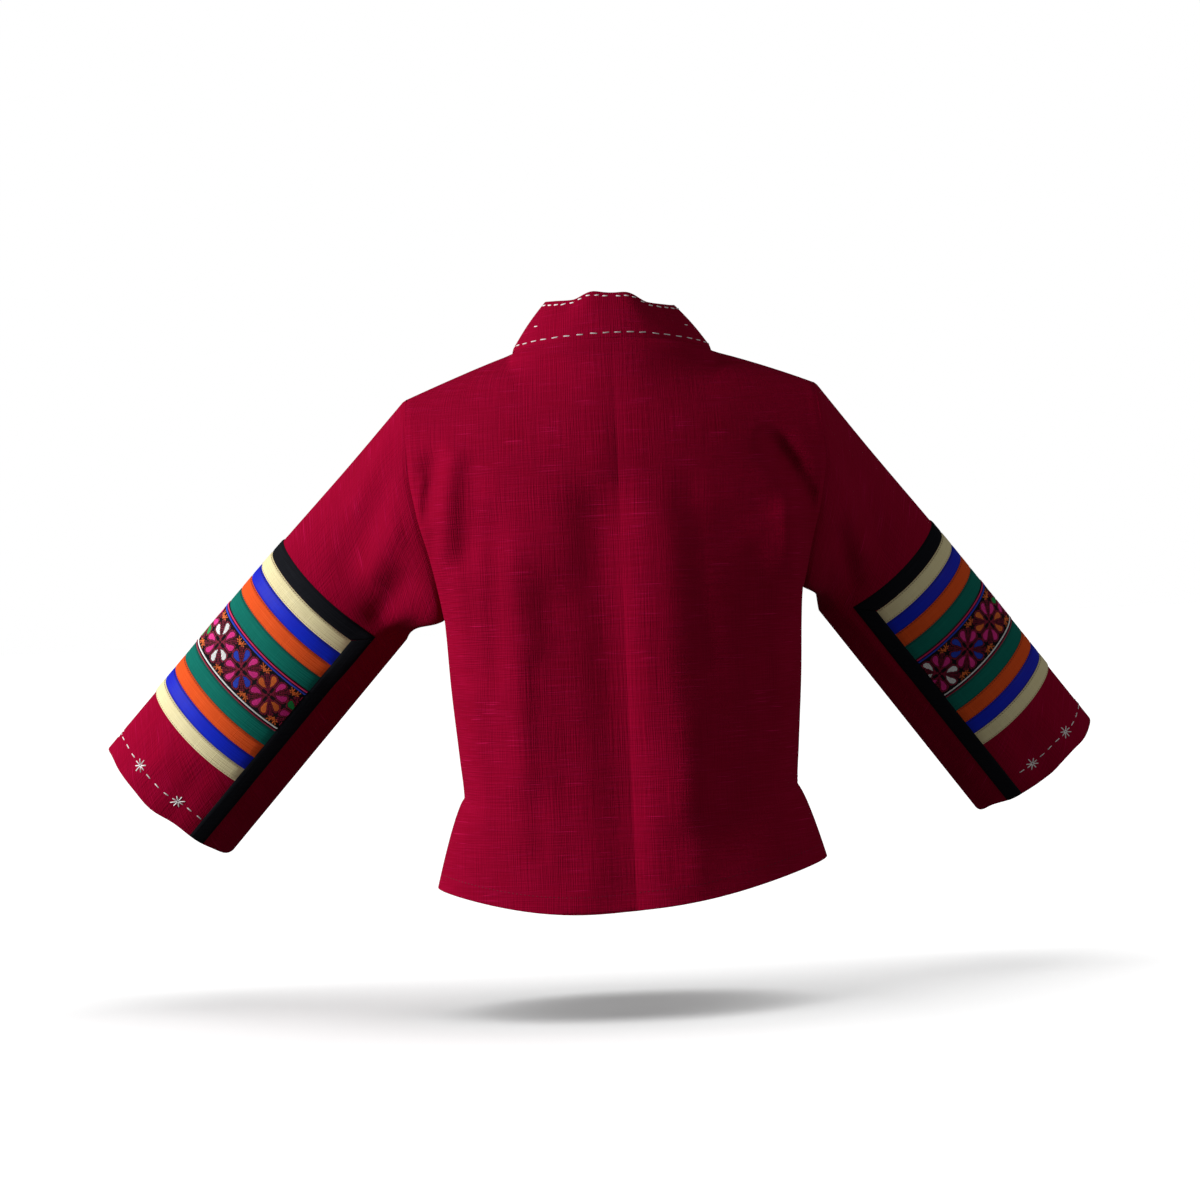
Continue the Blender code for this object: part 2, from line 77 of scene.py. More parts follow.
Section = namedtuple("Section", "z half_width back_depth front_depth side_power")
TORSO = (
    Section(10, 207, 78, 55, 1.00),
    Section(-38, 207, 90, 74, 1.00),
    Section(-110, 205.5, 103, 98, 0.92),
    Section(-160, 198.5, 107, 109, 0.80),
    Section(-205, 187.5, 107, 114, 0.64),
    Section(-256, 179, 104, 114, 0.50),
    Section(-330, 175, 98, 108, 0.45),
    Section(-400, 169.5, 95, 104, 0.45),
    Section(-440, 166.5, 95, 102, 0.45),
    Section(-520, 166, 101, 103, 0.50),
    Section(-560, 166, 103, 104, 0.50),
)
Flare = namedtuple("Flare", "out away")
FLARES = {"back": Flare(28.0, 12.0), "front": Flare(8.0, 8.0)}

# Soft troughs (depth < 0) and ridges, from one point of a panel to another.
Fold = namedtuple("Fold", "x_top z_top x_low z_low width depth")
FOLDS = {
    "back": (
        Fold(20, -140, 8, -545, 27, -9),
        Fold(-32, -150, -40, -470, 24, 4.5),
        Fold(106, -190, 100, -430, 24, 5),
        Fold(70, -230, 62, -520, 23, -3.6),
        Fold(161, -92, 172, -200, 15, 4.5),
        Fold(176, -98, 193, -165, 13, -7),
        Fold(146, -110, 152, -210, 16, -3.5),
        Fold(-150, -98, -191, -162, 13, -11.5),
        Fold(-160, -160, -172, -235, 15, 6),
        Fold(-100, -200, -108, -420, 26, 3),
    ),
    "front": (
        Fold(172, -100, 190, -168, 13, -9),
        Fold(120, -180, 112, -420, 26, 5),
        Fold(-170, -104, -190, -165, 13, -9),
        Fold(-118, -190, -112, -430, 26, 5),
    ),
}
# Finer creases, only here.
CREASES = {
    "back": (
        Fold(2, -30, 0, -190, 6, -0.6),
        Fold(12, -80, 6, -240, 8, 1.2),
        Fold(-6, -140, -12, -380, 8, 1.9),
        Fold(120, -150, 128, -330, 12, -1.6),
        Fold(136, -190, 140, -340, 11, 1.4),
        Fold(160, -215, 158, -310, 9, 1.6),
        Fold(171, -225, 166, -330, 7, -1.3),
        Fold(88, -300, 92, -500, 12, -2.0),
        Fold(150, -330, 146, -470, 10, 1.8),
        Fold(-66, -130, -80, -320, 10, -1.6),
        Fold(-130, -200, -140, -380, 11, -2.0),
        Fold(-188, -150, -194, -240, 11, -6.0),
        Fold(-144, -92, -176, -128, 9, -4.5),
        Fold(-150, -300, -146, -470, 10, 1.6),
        Fold(-60, -360, -58, -530, 14, 1.6),
        Fold(-58, -170, -60, -460, 24, 3.4),
        Fold(-108, -180, -104, -500, 28, -3.2),
        Fold(46, -210, 44, -520, 20, -1.5),
        Fold(-4, -180, -16, -520, 12, 1.8),
        Fold(190, -120, 198, -160, 5, 3.0),
        Fold(183, -175, 188, -215, 6, -3.5),
    ),
    "front": (
        Fold(150, -110, 158, -200, 10, 5),
        Fold(186, -180, 178, -260, 7, -4),
        Fold(140, -220, 146, -360, 9, -2.5),
        Fold(96, -260, 90, -480, 14, -2.5),
        Fold(160, -330, 156, -470, 9, 2),
        Fold(-150, -112, -160, -205, 10, 5),
        Fold(-184, -176, -176, -250, 7, -4),
        Fold(-142, -230, -146, -370, 9, -2.5),
        Fold(-94, -270, -92, -480, 14, -2.5),
        Fold(-158, -330, -152, -470, 9, 2),
    ),
}

Side = namedtuple("Side", "name sign underarm_z neck_drop tip_in drop forward inset half_width_top "
                          "half_width_cuff half_depth lift slant border_in border_out")
LEFT = Side("left", 1, -262.0, 0.0, 0.0, 45.4, 17.2, 0.0, 77.0, 84.0, 46.0, 5.0, 3.0, 119.5, 133.0)
RIGHT = Side("right", -1, -244.0, 5.0, 7.0, 50.5, 23.4, 5.0, 70.0, 77.0, 40.0, 7.0, 10.0, 114.5, 129.0)
SIDES = (LEFT, RIGHT)
SLEEVE_LENGTH = 505.0
BLEND_END = 192.0
SLEEVE_FOLD = 0.15

Strip = namedtuple("Strip", "name width slot")
STRIPS = (
    Strip("border_top", 18.5, "black"),
    Strip("cream_upper", 18.0, "cream"),
    Strip("blue_upper", 16.5, "blue"),
    Strip("orange_upper", 18.0, "orange"),
    Strip("green_upper", 20.0, "green"),
    Strip("embroidered", 58.0, "ground"),
    Strip("green_lower", 20.0, "green"),
    Strip("orange_lower", 18.0, "orange"),
    Strip("blue_lower", 17.0, "blue"),
    Strip("cream_lower", 17.5, "cream"),
)
PANEL_START = 199.0

Lean = namedtuple("Lean", "station inward forward up")
COLLAR = (
    Lean(0.00, 0, 28, 47.5),
    Lean(0.16, 9, 27, 49),
    Lean(0.42, 24, 21.5, 42),
    Lean(0.67, 32, 13, 43.5),
    Lean(1.00, 37.5, 3, 45.5),
    Lean(1.06, 50, 9, 30),
    Lean(1.13, 54, 9, 19),
    Lean(1.22, 56, 8, 13),
    Lean(1.30, 57, 7, 8),
    Lean(1.40, 58, 7, 1),
    Lean(2.00, 58, 7, 0),
)
COLLAR_TILT = 0.06
COLLAR_TILT_FADE = 80.0
NECK_DROP_FADE = 0.3
COLLAR_HEIGHT = 58.0
COLLAR_BULGE = 2.0
NECK_MIDDLE = np.array([0.0, -25.0, 25.0])
BAND_OUTWARD = np.array([0.0, -1.0, 0.2])
BAND_TOP_Z = -25.0
Opening = namedtuple("Opening", "down x")
FRONT_EDGE = (
    Opening(0.00, 101), Opening(0.07, 98), Opening(0.14, 90), Opening(0.22, 79),
    Opening(0.30, 68), Opening(0.38, 61.5), Opening(0.46, 60.5), Opening(1.00, 60.5),
)

# Cloth thicknesses of the looks, the tuck that a seam makes, and grid steps.
CLOTH = 1.2
COLLAR_CLOTH = 2.2
STRIP_LOW, STRIP_HIGH = 0.25, 1.25
SEAM_TUCK, SEAM_REACH = 1.7, 3.2
CENTRE_TUCK = 0.6
STEP = 4.5


def smooth(x):
    x = np.clip(x, 0.0, 1.0)
    return x * x * (3.0 - 2.0 * x)


def curve(rows, column, at):
    """A table's column at values of its first column, on a smooth curve through the rows."""
    keys = np.array([row[0] for row in rows], float)
    values = np.array([getattr(row, column) for row in rows], float)
    if keys[0] > keys[-1]:
        keys, values = keys[::-1], values[::-1]
    rise = np.diff(values) / np.diff(keys)
    slope = np.zeros(len(keys))
    same = rise[:-1] * rise[1:] > 0
    slope[1:-1][same] = 2 * rise[:-1][same] * rise[1:][same] / (rise[:-1][same] + rise[1:][same])
    at = np.clip(at, keys[0], keys[-1])
    i = np.clip(np.searchsorted(keys, at) - 1, 0, len(keys) - 2)
    span = keys[i + 1] - keys[i]
    t = (at - keys[i]) / span
    start, end, up = slope[i] * span, slope[i + 1] * span, values[i + 1] - values[i]
    return values[i] + t * (start + t * (3 * up - 2 * start - end + t * (start + end - 2 * up)))


def top_z(side, s):
    bow = (np.minimum(s, NECK_FRACTION) / NECK_FRACTION) ** 2
    neck = NECK_POINT_Z + NECK_CENTRE_RISE * (1 - bow) - side.neck_drop * bow
    along = np.clip((s - NECK_FRACTION) / (1 - NECK_FRACTION), 0, 1)
    fall = (SHOULDER_TIP_Z - NECK_POINT_Z) * along ** SHOULDER_SLOPE_POWER
    return np.where(s <= NECK_FRACTION, neck, NECK_POINT_Z + fall - side.neck_drop * (1 - along))


def hem_z(s, sign, face):
    level = HEM_CORNER_Z - HEM_DROP[face] * (1 - s ** HEM_POWER)
    return level - sign * HEM_TILT * s * SHOULDER_HALF_WIDTH * (1 - 0.35 * s * s)


def fold_sum(folds, x, z):
    total = np.zeros(np.broadcast(x, z).shape)
    for fold in folds:
        ax, az = fold.x_low - fold.x_top, fold.z_low - fold.z_top
        length = math.hypot(ax, az)
        ox, oz = x - fold.x_top, z - fold.z_top
        travel = (ox * ax + oz * az) / length
        across = (ox * az - oz * ax) / length
        fade = smooth(travel / fold.width / 2 + 0.5) * smooth((length - travel) / fold.width / 2 + 0.5)
        total += fold.depth * fade * np.exp(-(across / fold.width) ** 2)
    return total


def armhole_middle(side):
    return (SHOULDER_TIP_Z + side.underarm_z) / 2


def armhole_half_height(side):
    return (SHOULDER_TIP_Z - side.underarm_z) / 2


def slit_opening(z):
    return np.clip((SLIT_TOP_Z - z) / (SLIT_TOP_Z - HEM_CORNER_Z), 0.0, 1.2) ** FLARE_POWER


def edge_away(side, z, face):
    level = (z - armhole_middle(side)) / armhole_half_height(side)
    round_off = ARMHOLE_HALF_DEPTH * np.sqrt(np.maximum(0.0, 1 - level * level))
    return np.where(z > side.underarm_z, round_off, FLARES[face].away * slit_opening(z))


def shoulder_rise(down, ease):
    down = np.clip(down / SHOULDER_ROUNDING, 0.0, 1.0)
    return (1 - (1 - down) ** 2) ** (1 / ease)


def pull_away(z, face):
    spread = ARMHOLE_HALF_DEPTH * (1 - smooth((PULL_TOP_Z - z) / PULL_FADE))
    return spread * shoulder_rise(SHOULDER_TIP_Z - z, 2.0) + FLARES[face].away * slit_opening(z)


def torso_point(side, face, s, v):
    """The panel's outer surface: s from the centre to the side, v from the top edge to the hem."""
    s, v = np.broadcast_arrays(np.asarray(s, float), np.asarray(v, float))
    corner = hem_z(1.0, side.sign, face)
    edge_z = SHOULDER_TIP_Z + (corner - SHOULDER_TIP_Z) * v
    top = top_z(side, s)
    z = top + (hem_z(s, side.sign, face) - top) * v
    x = s * curve(TORSO, "half_width", z) + FLARES[face].out * slit_opening(edge_z) * s ** FLARE_SPREAD
    x = x - side.tip_in * (1 - smooth((SHOULDER_TIP_Z - z) / TIP_FADE)) * s ** TIP_POWER
    neck = np.minimum(s / NECK_FRACTION, 1.0)
    power = 0.5 + NECK_SOFTEN * smooth((top - z) / NECK_SOFTEN_REACH)
    start = NECK_BACK * np.maximum(1 - neck ** 2, 0.0) ** power if face == "back" else 0.0
    ease = np.where(s < NECK_FRACTION, 1.0 + smooth(neck), 2.0) if face == "back" else 2.0
    rise = shoulder_rise(top - z, ease)
    depth = curve(TORSO, face + "_depth", z)
    round_off = np.maximum(0.0, 1 - s ** SECTION_POWER) ** curve(TORSO, "side_power", z)
    away = start + (depth * round_off - start) * rise
    pull = pull_away(edge_z, face)
    away = away + pull * s ** PULL_POWER + (edge_away(side, edge_z, face) - pull) * s ** EDGE_POWER
    folds = fold_sum(FOLDS[face], side.sign * x, z) + fold_sum(CREASES[face], side.sign * x, z)
    away = away + folds * rise * (1 - s ** FOLD_EDGE_POWER)
    return np.stack([side.sign * x, away if face == "back" else -away, z], -1)


def front_fraction(t, v):
    """Fraction of the half width at step t from the front edge to the side."""
    z = SHOULDER_TIP_Z + (HEM_CORNER_Z - SHOULDER_TIP_Z) * v
    edge = curve(FRONT_EDGE, "x", v)
    inner = edge / SHOULDER_HALF_WIDTH
    lower = (edge / curve(TORSO, "half_width", z) - inner) * smooth((v - 0.3) / 0.2)
    inner = inner + np.where(v > 0.3, lower, 0.0)
    return inner + (1 - inner) * np.sin(math.pi / 2 * t)


def sleeve_axes(side):
    drop, forward = math.radians(side.drop), math.radians(side.forward)
    along = np.array([side.sign * math.cos(forward) * math.cos(drop), -math.sin(forward),
                      -math.cos(forward) * math.sin(drop)])
    outward = np.array([side.sign * math.sin(drop), 0.0, math.cos(drop)])
    backward = np.array([side.sign * math.sin(forward) * math.cos(drop), math.cos(forward),
                         -math.sin(forward) * math.sin(drop)])
    return along, outward, backward


def armhole_point(side, angle):
    turn = np.radians(angle)
    z = armhole_middle(side) + armhole_half_height(side) * np.cos(turn)
    points = []
    for face in ("back", "front"):
        v = (SHOULDER_TIP_Z - z) / (SHOULDER_TIP_Z - hem_z(1.0, side.sign, face))
        points.append(torso_point(side, face, np.ones_like(z), v))
    return np.where((np.sin(turn) >= 0)[..., None], points[0], points[1])


# Creases of each sleeve: angle round it from its top line (the back is positive), and q along it
# from the shoulder tip. Widths are millimetres.
Crease = namedtuple("Crease", "angle_top q_top angle_low q_low width depth")
SLEEVE_CREASES = {
    "left": (
        Crease(88, 78, 100, 150, 11, 5.0),
        Crease(66, 60, 84, 170, 14, -3.0),
        Crease(116, 110, 126, 190, 12, -4.5),
        Crease(140, 150, 128, 260, 12, 3.0),
        Crease(40, 30, 58, 120, 14, 2.5),
        Crease(152, 180, 146, 420, 12, -2.5),
        Crease(-80, 70, -96, 160, 13, 4.5),
        Crease(-112, 100, -124, 190, 12, -4.0),
        Crease(-150, 180, -142, 400, 13, -2.5),
        Crease(70, 440, 60, 505, 9, 1.6),
        Crease(96, 430, 100, 505, 10, -2.0),
        Crease(-40, 420, -50, 505, 12, -2.0),
    ),
    "right": (
        Crease(84, 84, 98, 160, 12, 4.5),
        Crease(106, 100, 118, 185, 10, -4.0),
        Crease(62, 60, 80, 180, 14, -2.5),
        Crease(146, 160, 138, 300, 12, 2.0),
        Crease(150, 200, 148, 420, 12, -2.0),
        Crease(-82, 70, -98, 160, 13, 4.5),
        Crease(-116, 100, -126, 190, 12, -4.0),
        Crease(-150, 180, -142, 400, 13, -2.5),
        Crease(60, 440, 66, 505, 9, 1.8),
        Crease(88, 430, 92, 505, 9, -2.0),
        Crease(-46, 420, -50, 505, 12, -2.0),
    ),
}
RING_MM = 1.12          # millimetres of arc to a degree round the sleeve
TOP_BOW = 3.0           # how far the sleeve's top line bows out along its length
CUFF_WAVE = 2.2


def relief(side, angle, q):
    """How far the sleeve's cloth stands off the plain tube."""
    turned = (np.asarray(angle, float) + 180.0) % 360.0 - 180.0
    folds = [Fold(c.angle_top * RING_MM, c.q_top, c.angle_low * RING_MM, c.q_low, c.width, c.depth)
             for c in SLEEVE_CREASES[side.name]]
    bow = TOP_BOW * smooth((q - 60) / 200) * (0.5 + 0.5 * np.cos(np.radians(turned))) ** 2
    return fold_sum(folds, turned * RING_MM, q) + bow


def tube_point(side, angle, q, lift=0.0):
    """A point of the straight sleeve, q from the shoulder tip, lifted off its surface."""
    angle, q, lift = np.broadcast_arrays(*(np.asarray(a, float) for a in (angle, q, lift)))
    along, outward, backward = sleeve_axes(side)
    turn = np.radians(angle)
    cosine, sine = np.cos(turn), np.sin(turn)
    half_width = side.half_width_top + (side.half_width_cuff - side.half_width_top) * q / SLEEVE_LENGTH
    depth = side.half_depth * sine * (1 - SLEEVE_FOLD * cosine ** 2)
    point = np.array([side.sign * SHOULDER_HALF_WIDTH, 0.0, SHOULDER_TIP_Z]) + along * q[..., None]
    point = point + outward * (half_width * (cosine - 1) - side.inset)[..., None]
    point = point + backward * depth[..., None]
    normal = outward * (cosine / half_width)[..., None] + backward * (sine / side.half_depth)[..., None]
    normal /= np.linalg.norm(normal, axis=-1, keepdims=True)
    return point + normal * lift[..., None]


def cuff_q(side, angle):
    turn = np.radians(angle)
    wave = CUFF_WAVE * (0.6 * np.sin(5 * turn + 1.1 * side.sign) + 0.4 * np.sin(9 * turn + 0.7))
    return SLEEVE_LENGTH - side.slant * (1 - np.cos(turn)) / 2 + wave


def cloth_point(side, angle, q, lift=0.0):
    """A point of the straight sleeve's creased cloth."""
    return tube_point(side, angle, q, lift + relief(side, angle, q))


def sleeve_point(side, angle, step):
    """A point of the sleeve head: step 0 on the armhole seam, 1 where the straight sleeve begins."""
    angle, step = np.broadcast_arrays(np.asarray(angle, float), np.asarray(step, float))
    seam = armhole_point(side, angle)
    along, outward, _ = sleeve_axes(side)
    start = (seam - tube_point(side, 0.0, 0.0)) @ along
    q = start + (BLEND_END - start) * step
    gap = seam - tube_point(side, angle, start)
    point = tube_point(side, angle, q, relief(side, angle, q) * smooth(step * 4))
    point = point + gap * (1 - smooth(step))[..., None]
    below = np.maximum(0.0, -np.cos(np.radians(angle)))
    return point + outward * (side.lift * below * 4 * step * (1 - step))[..., None], q


# ---------------------------------------------------------------- meshes
garment = bpy.data.collections.new("garment")       # everything that the studio lamps light

def normals_of(grid, closed=False):
    """Unit normals of a grid of points, all on one side of it."""
    if closed:
        across = np.roll(grid, -1, 1) - np.roll(grid, 1, 1)
    else:
        across = np.empty_like(grid)
        across[:, 1:-1] = grid[:, 2:] - grid[:, :-2]
        across[:, 0], across[:, -1] = grid[:, 1] - grid[:, 0], grid[:, -1] - grid[:, -2]
    down = np.empty_like(grid)
    down[1:-1] = grid[2:] - grid[:-2]
    down[0], down[-1] = grid[1] - grid[0], grid[-1] - grid[-2]
    normal = np.cross(across, down)
    return normal / np.maximum(np.linalg.norm(normal, axis=-1, keepdims=True), 1e-9)


def turned_out(normals, outward):
    return normals if np.sum(normals * outward) > 0 else -normals


def arc(grid, axis):
    """Distance travelled along an axis of a grid, from its first line."""
    steps = np.linalg.norm(np.diff(grid, axis=axis), axis=-1)
    shape = list(grid.shape[:2])
    shape[axis] = 1
    return np.concatenate([np.zeros(shape), np.cumsum(steps, axis=axis)], axis)


def mesh_piece(name, verts, faces, materials, uv=None, chosen=None, crease_angle=50):
    mesh = bpy.data.meshes.new(name)
    mesh.from_pydata((np.asarray(verts) * MM).tolist(), [], faces)
    for material in materials:
        mesh.materials.append(material)
    if chosen is not None:
        mesh.polygons.foreach_set("material_index", np.asarray(chosen, np.int32))
    if uv is not None:
        layer = mesh.uv_layers.new(name="cloth")
        layer.uv.foreach_set("vector", np.asarray(uv, np.float32).ravel())
    mesh.shade_smooth()
    mesh.set_sharp_from_angle(angle=math.radians(crease_angle))
    piece = bpy.data.objects.new(name, mesh)
    bpy.context.scene.collection.objects.link(piece)
    garment.objects.link(piece)
    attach(piece, "root")
    return piece


def shell(name, outer, inner, material, closed=False, soft=(), level=False):
    """A closed shell between two grids. soft names the edges that are rounded: top, low, in, out.
    With level set, the cloth's cross threads lie level, as on a hanging panel."""
    rows, columns = outer.shape[:2]
    thick = np.linalg.norm(outer - inner, axis=-1, keepdims=True)
    middle = (outer + inner) / 2
    flow = {"top": (middle[0] - middle[1], 0), "low": (middle[-1] - middle[-2], -1)}
    if not closed:
        flow["in"] = (middle[:, 0] - middle[:, 1], 0)
        flow["out"] = (middle[:, -1] - middle[:, -2], -1)
    verts = [outer.reshape(-1, 3), inner.reshape(-1, 3)]
    count = 2 * rows * columns
    width, height = arc(outer, 1), -outer[..., 2] if level else arc(outer, 0)
    if closed:
        width = np.concatenate([width, width[:, -1:] + np.linalg.norm(
            outer[:, :1] - outer[:, -1:], axis=-1)], 1)
    spans = columns if closed else columns - 1
    index = np.arange(rows * columns).reshape(rows, columns)
    faces, uvs = [], []

    def place(i, j):
        return (width[i, j] * MM, height[i, j % columns] * MM)

    inside = rows * columns
    for i in range(rows - 1):
        for j in range(spans):
            k = (j + 1) % columns
            quad = (index[i, j], index[i, k], index[i + 1, k], index[i + 1, j])
            spot = (place(i, j), place(i, j + 1), place(i + 1, j + 1), place(i + 1, j))
            faces.append([int(a) for a in quad])
            uvs.extend(spot)
            faces.append([int(a) + inside for a in reversed(quad)])
            uvs.extend(reversed(spot))
    for edge, (way, line) in flow.items():
        if edge in ("top", "low"):
            ids, points, thin = index[line], middle[line], thick[line]
            spots = [place(line % rows, j) for j in range(columns + (1 if closed else 0))]
            loop = closed
        else:
            ids, points, thin = index[:, line], middle[:, line], thick[:, line]
            spots = [place(i, line % columns) for i in range(rows)]
            loop = False
        way = way / np.maximum(np.linalg.norm(way, axis=-1, keepdims=True), 1e-9)
        verts.append(points + way * thin * (0.42 if edge in soft else 0.0))
        ring = [count + k for k in range(len(ids))]
        count += len(ids)
        flip = edge in ("low", "in")
        for a in range(len(ids) if loop else len(ids) - 1):
            b = (a + 1) % len(ids)
            for low, high in (((int(ids[a]), int(ids[b])), (ring[a], ring[b])),
                              ((ring[a], ring[b]), (int(ids[a]) + inside, int(ids[b]) + inside))):
                quad = [low[1], low[0], high[0], high[1]]
                spot = [spots[a + 1], spots[a], spots[a], spots[a + 1]]
                faces.append(quad[::-1] if flip else quad)
                uvs.extend(spot[::-1] if flip else spot)
    piece = mesh_piece(name, np.concatenate(verts), faces, [material], uvs)
    box = bmesh.new()
    box.from_mesh(piece.data)
    bmesh.ops.recalc_face_normals(box, faces=box.faces)
    box.to_mesh(piece.data)
    box.free()
    return piece


def groove(distance):
    return SEAM_TUCK * np.exp(-(distance / SEAM_REACH) ** 2)


def unit(vectors):
    return vectors / np.maximum(np.linalg.norm(vectors, axis=-1, keepdims=True), 1e-9)


def neck_out(points):
    """The way that the cloth faces at the neck seam and down the front bands."""
    return unit(np.where(points[..., 2:] > BAND_TOP_Z, points - NECK_MIDDLE, BAND_OUTWARD))


def side_out(side, points):
    """The way that the cloth faces on the armhole seam, and below it on the side seam."""
    radial = points - np.array([0.0, 0.0, armhole_middle(side)])
    radial[..., 0] = 0.0
    below = smooth((side.underarm_z + 6 - points[..., 2]) / 12)[..., None]
    return unit(unit(radial) * (1 - below) + np.array([side.sign, 0.0, 0.0]) * below)


def tucked(grid, tucks):
    """A grid drawn in along its seams: each tuck is a depth and the way the cloth faces there."""
    depth = sum(depth for depth, _ in tucks)
    pull = sum(depth[..., None] * way for depth, way in tucks)
    return grid - pull / np.maximum(1.0, depth / SEAM_TUCK)[..., None]


# ---------------------------------------------------------------- materials
def node(tree, kind, **values):
    made = tree.nodes.new(kind)
    for key, value in values.items():
        if key in made.inputs:
            made.inputs[key].default_value = value
        else:
            setattr(made, key, value)
    return made


def cloth_material(name, colour, deep, light, roughness, sheen, slub, warp, bump, tint=None, gloss=0.08):
    """Woven cloth: slubs run across it, fine warp lines along it. Scales follow the cloth map."""
    made = bpy.data.materials.new(name)
    made.use_nodes = True
    tree = made.node_tree
    link = tree.links.new
    shader = tree.nodes["Principled BSDF"]
    shader.inputs["Roughness"].default_value = roughness
    shader.inputs["Sheen Weight"].default_value = sheen
    shader.inputs["Sheen Roughness"].default_value = 0.45
    shader.inputs["Sheen Tint"].default_value = (*(tint or colour), 1)
    shader.inputs["Specular IOR Level"].default_value = gloss
    place = node(tree, "ShaderNodeUVMap", uv_map="cloth")

    def threads(scale, detail, low, high, rough=0.5):
        turn = node(tree, "ShaderNodeMapping")
        turn.inputs["Scale"].default_value = scale
        link(place.outputs["UV"], turn.inputs["Vector"])
        noise = node(tree, "ShaderNodeTexNoise", Scale=1.0, Detail=detail, Roughness=rough)
        link(turn.outputs["Vector"], noise.inputs["Vector"])
        ramp = node(tree, "ShaderNodeMapRange")
        ramp.inputs["From Min"].default_value = low
        ramp.inputs["From Max"].default_value = high
        link(noise.outputs["Fac"], ramp.inputs["Value"])
        return ramp.outputs["Result"]

    weft = threads((26, 760, 1), 2.0, 0.40, 0.66)
    slubs = threads((24, 780, 1), 1.0, 0.66, 0.73)
    fine = threads((980, 17, 1), 2.0, 0.36, 0.66)
    cloudy = threads((9, 9, 1), 3.0, 0.25, 0.75)

    def mix(amount, a, b, factor):
        blend = node(tree, "ShaderNodeMix", data_type="RGBA", blend_type="MIX")
        scaled = node(tree, "ShaderNodeMath", operation="MULTIPLY")
        scaled.inputs[1].default_value = amount
        link(factor, scaled.inputs[0])
        link(scaled.outputs[0], blend.inputs["Factor"])
        for value, socket in ((a, blend.inputs["A"]), (b, blend.inputs["B"])):
            if isinstance(value, tuple):
                socket.default_value = (*value, 1)
            else:
                link(value, socket)
        return blend.outputs["Result"]

    base = mix(0.55, colour, deep, cloudy)
    base = mix(warp, base, deep, fine)
    base = mix(warp * 0.8, base, light, weft)
    base = mix(slub, base, light, slubs)
    link(base, shader.inputs["Base Color"])
    total = node(tree, "ShaderNodeMath", operation="ADD")
    link(weft, total.inputs[0])
    link(fine, total.inputs[1])
    more = node(tree, "ShaderNodeMath", operation="ADD")
    link(total.outputs[0], more.inputs[0])
    link(slubs, more.inputs[1])
    rise = node(tree, "ShaderNodeBump", Strength=bump, Distance=0.0004)
    link(more.outputs[0], rise.inputs["Height"])
    link(rise.outputs["Normal"], shader.inputs["Normal"])
    return made


def thread_material(name, colour, roughness=0.6, sheen=0.05):
    made = bpy.data.materials.new(name)
    made.use_nodes = True
    tree = made.node_tree
    shader = tree.nodes["Principled BSDF"]
    place = node(tree, "ShaderNodeTexCoord")
    noise = node(tree, "ShaderNodeTexNoise", Scale=900.0, Detail=2.0)
    tree.links.new(place.outputs["Object"], noise.inputs["Vector"])
    ramp = node(tree, "ShaderNodeMapRange")
    ramp.inputs["From Min"].default_value = 0.3
    ramp.inputs["From Max"].default_value = 0.7
    tree.links.new(noise.outputs["Fac"], ramp.inputs["Value"])
    blend = node(tree, "ShaderNodeMix", data_type="RGBA", blend_type="MIX")
    blend.inputs["A"].default_value = (*(c * 0.72 for c in colour), 1)
    blend.inputs["B"].default_value = (*colour, 1)
    tree.links.new(ramp.outputs["Result"], blend.inputs["Factor"])
    tree.links.new(blend.outputs["Result"], shader.inputs["Base Color"])
    shader.inputs["Roughness"].default_value = roughness
    shader.inputs["Sheen Weight"].default_value = sheen
    shader.inputs["Specular IOR Level"].default_value = 0.2
    return made


CLOTHS = {
    "burgundy": cloth_material("burgundy_slub", (0.262, 0.0002, 0.020), (0.165, 0.0001, 0.010),
                               (0.42, 0.004, 0.056), 0.9, 0.004, 0.85, 0.20, 0.7, gloss=0.03),
    "black": cloth_material("black_cotton", (0.0036, 0.0040, 0.0065), (0.0018, 0.0020, 0.0034),
                            (0.012, 0.013, 0.018), 0.85, 0.0, 0.10, 0.30, 0.5),
    "ground": cloth_material("black_ground", (0.0055, 0.0040, 0.0055), (0.0025, 0.0020, 0.0025),
                             (0.016, 0.012, 0.016), 0.90, 0.0, 0.0, 0.5, 0.8),
    "cream": cloth_material("cream_cotton", (0.70, 0.62, 0.36), (0.60, 0.52, 0.27),
                            (0.80, 0.74, 0.50), 0.85, 0.02, 0.25, 0.25, 0.6),
    "blue": cloth_material("blue_satin", (0.0010, 0.022, 0.52), (0.022, 0.003, 0.20),
                           (0.004, 0.050, 0.85), 0.5, 0.0, 0.0, 0.16, 0.25, gloss=0.06),
    "orange": cloth_material("orange_cotton", (0.66, 0.078, 0.012), (0.56, 0.055, 0.007),
                             (0.80, 0.13, 0.03), 0.85, 0.02, 0.10, 0.25, 0.6),
    "green": cloth_material("green_cotton", (0.0012, 0.128, 0.098), (0.0006, 0.090, 0.068),
                            (0.010, 0.19, 0.145), 0.85, 0.02, 0.12, 0.28, 0.6),
}


# ---------------------------------------------------------------- panels, sleeves, collar
def declare(piece, node_name, slot, flat, area, rests_on, held="draped"):
    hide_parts(node_name)


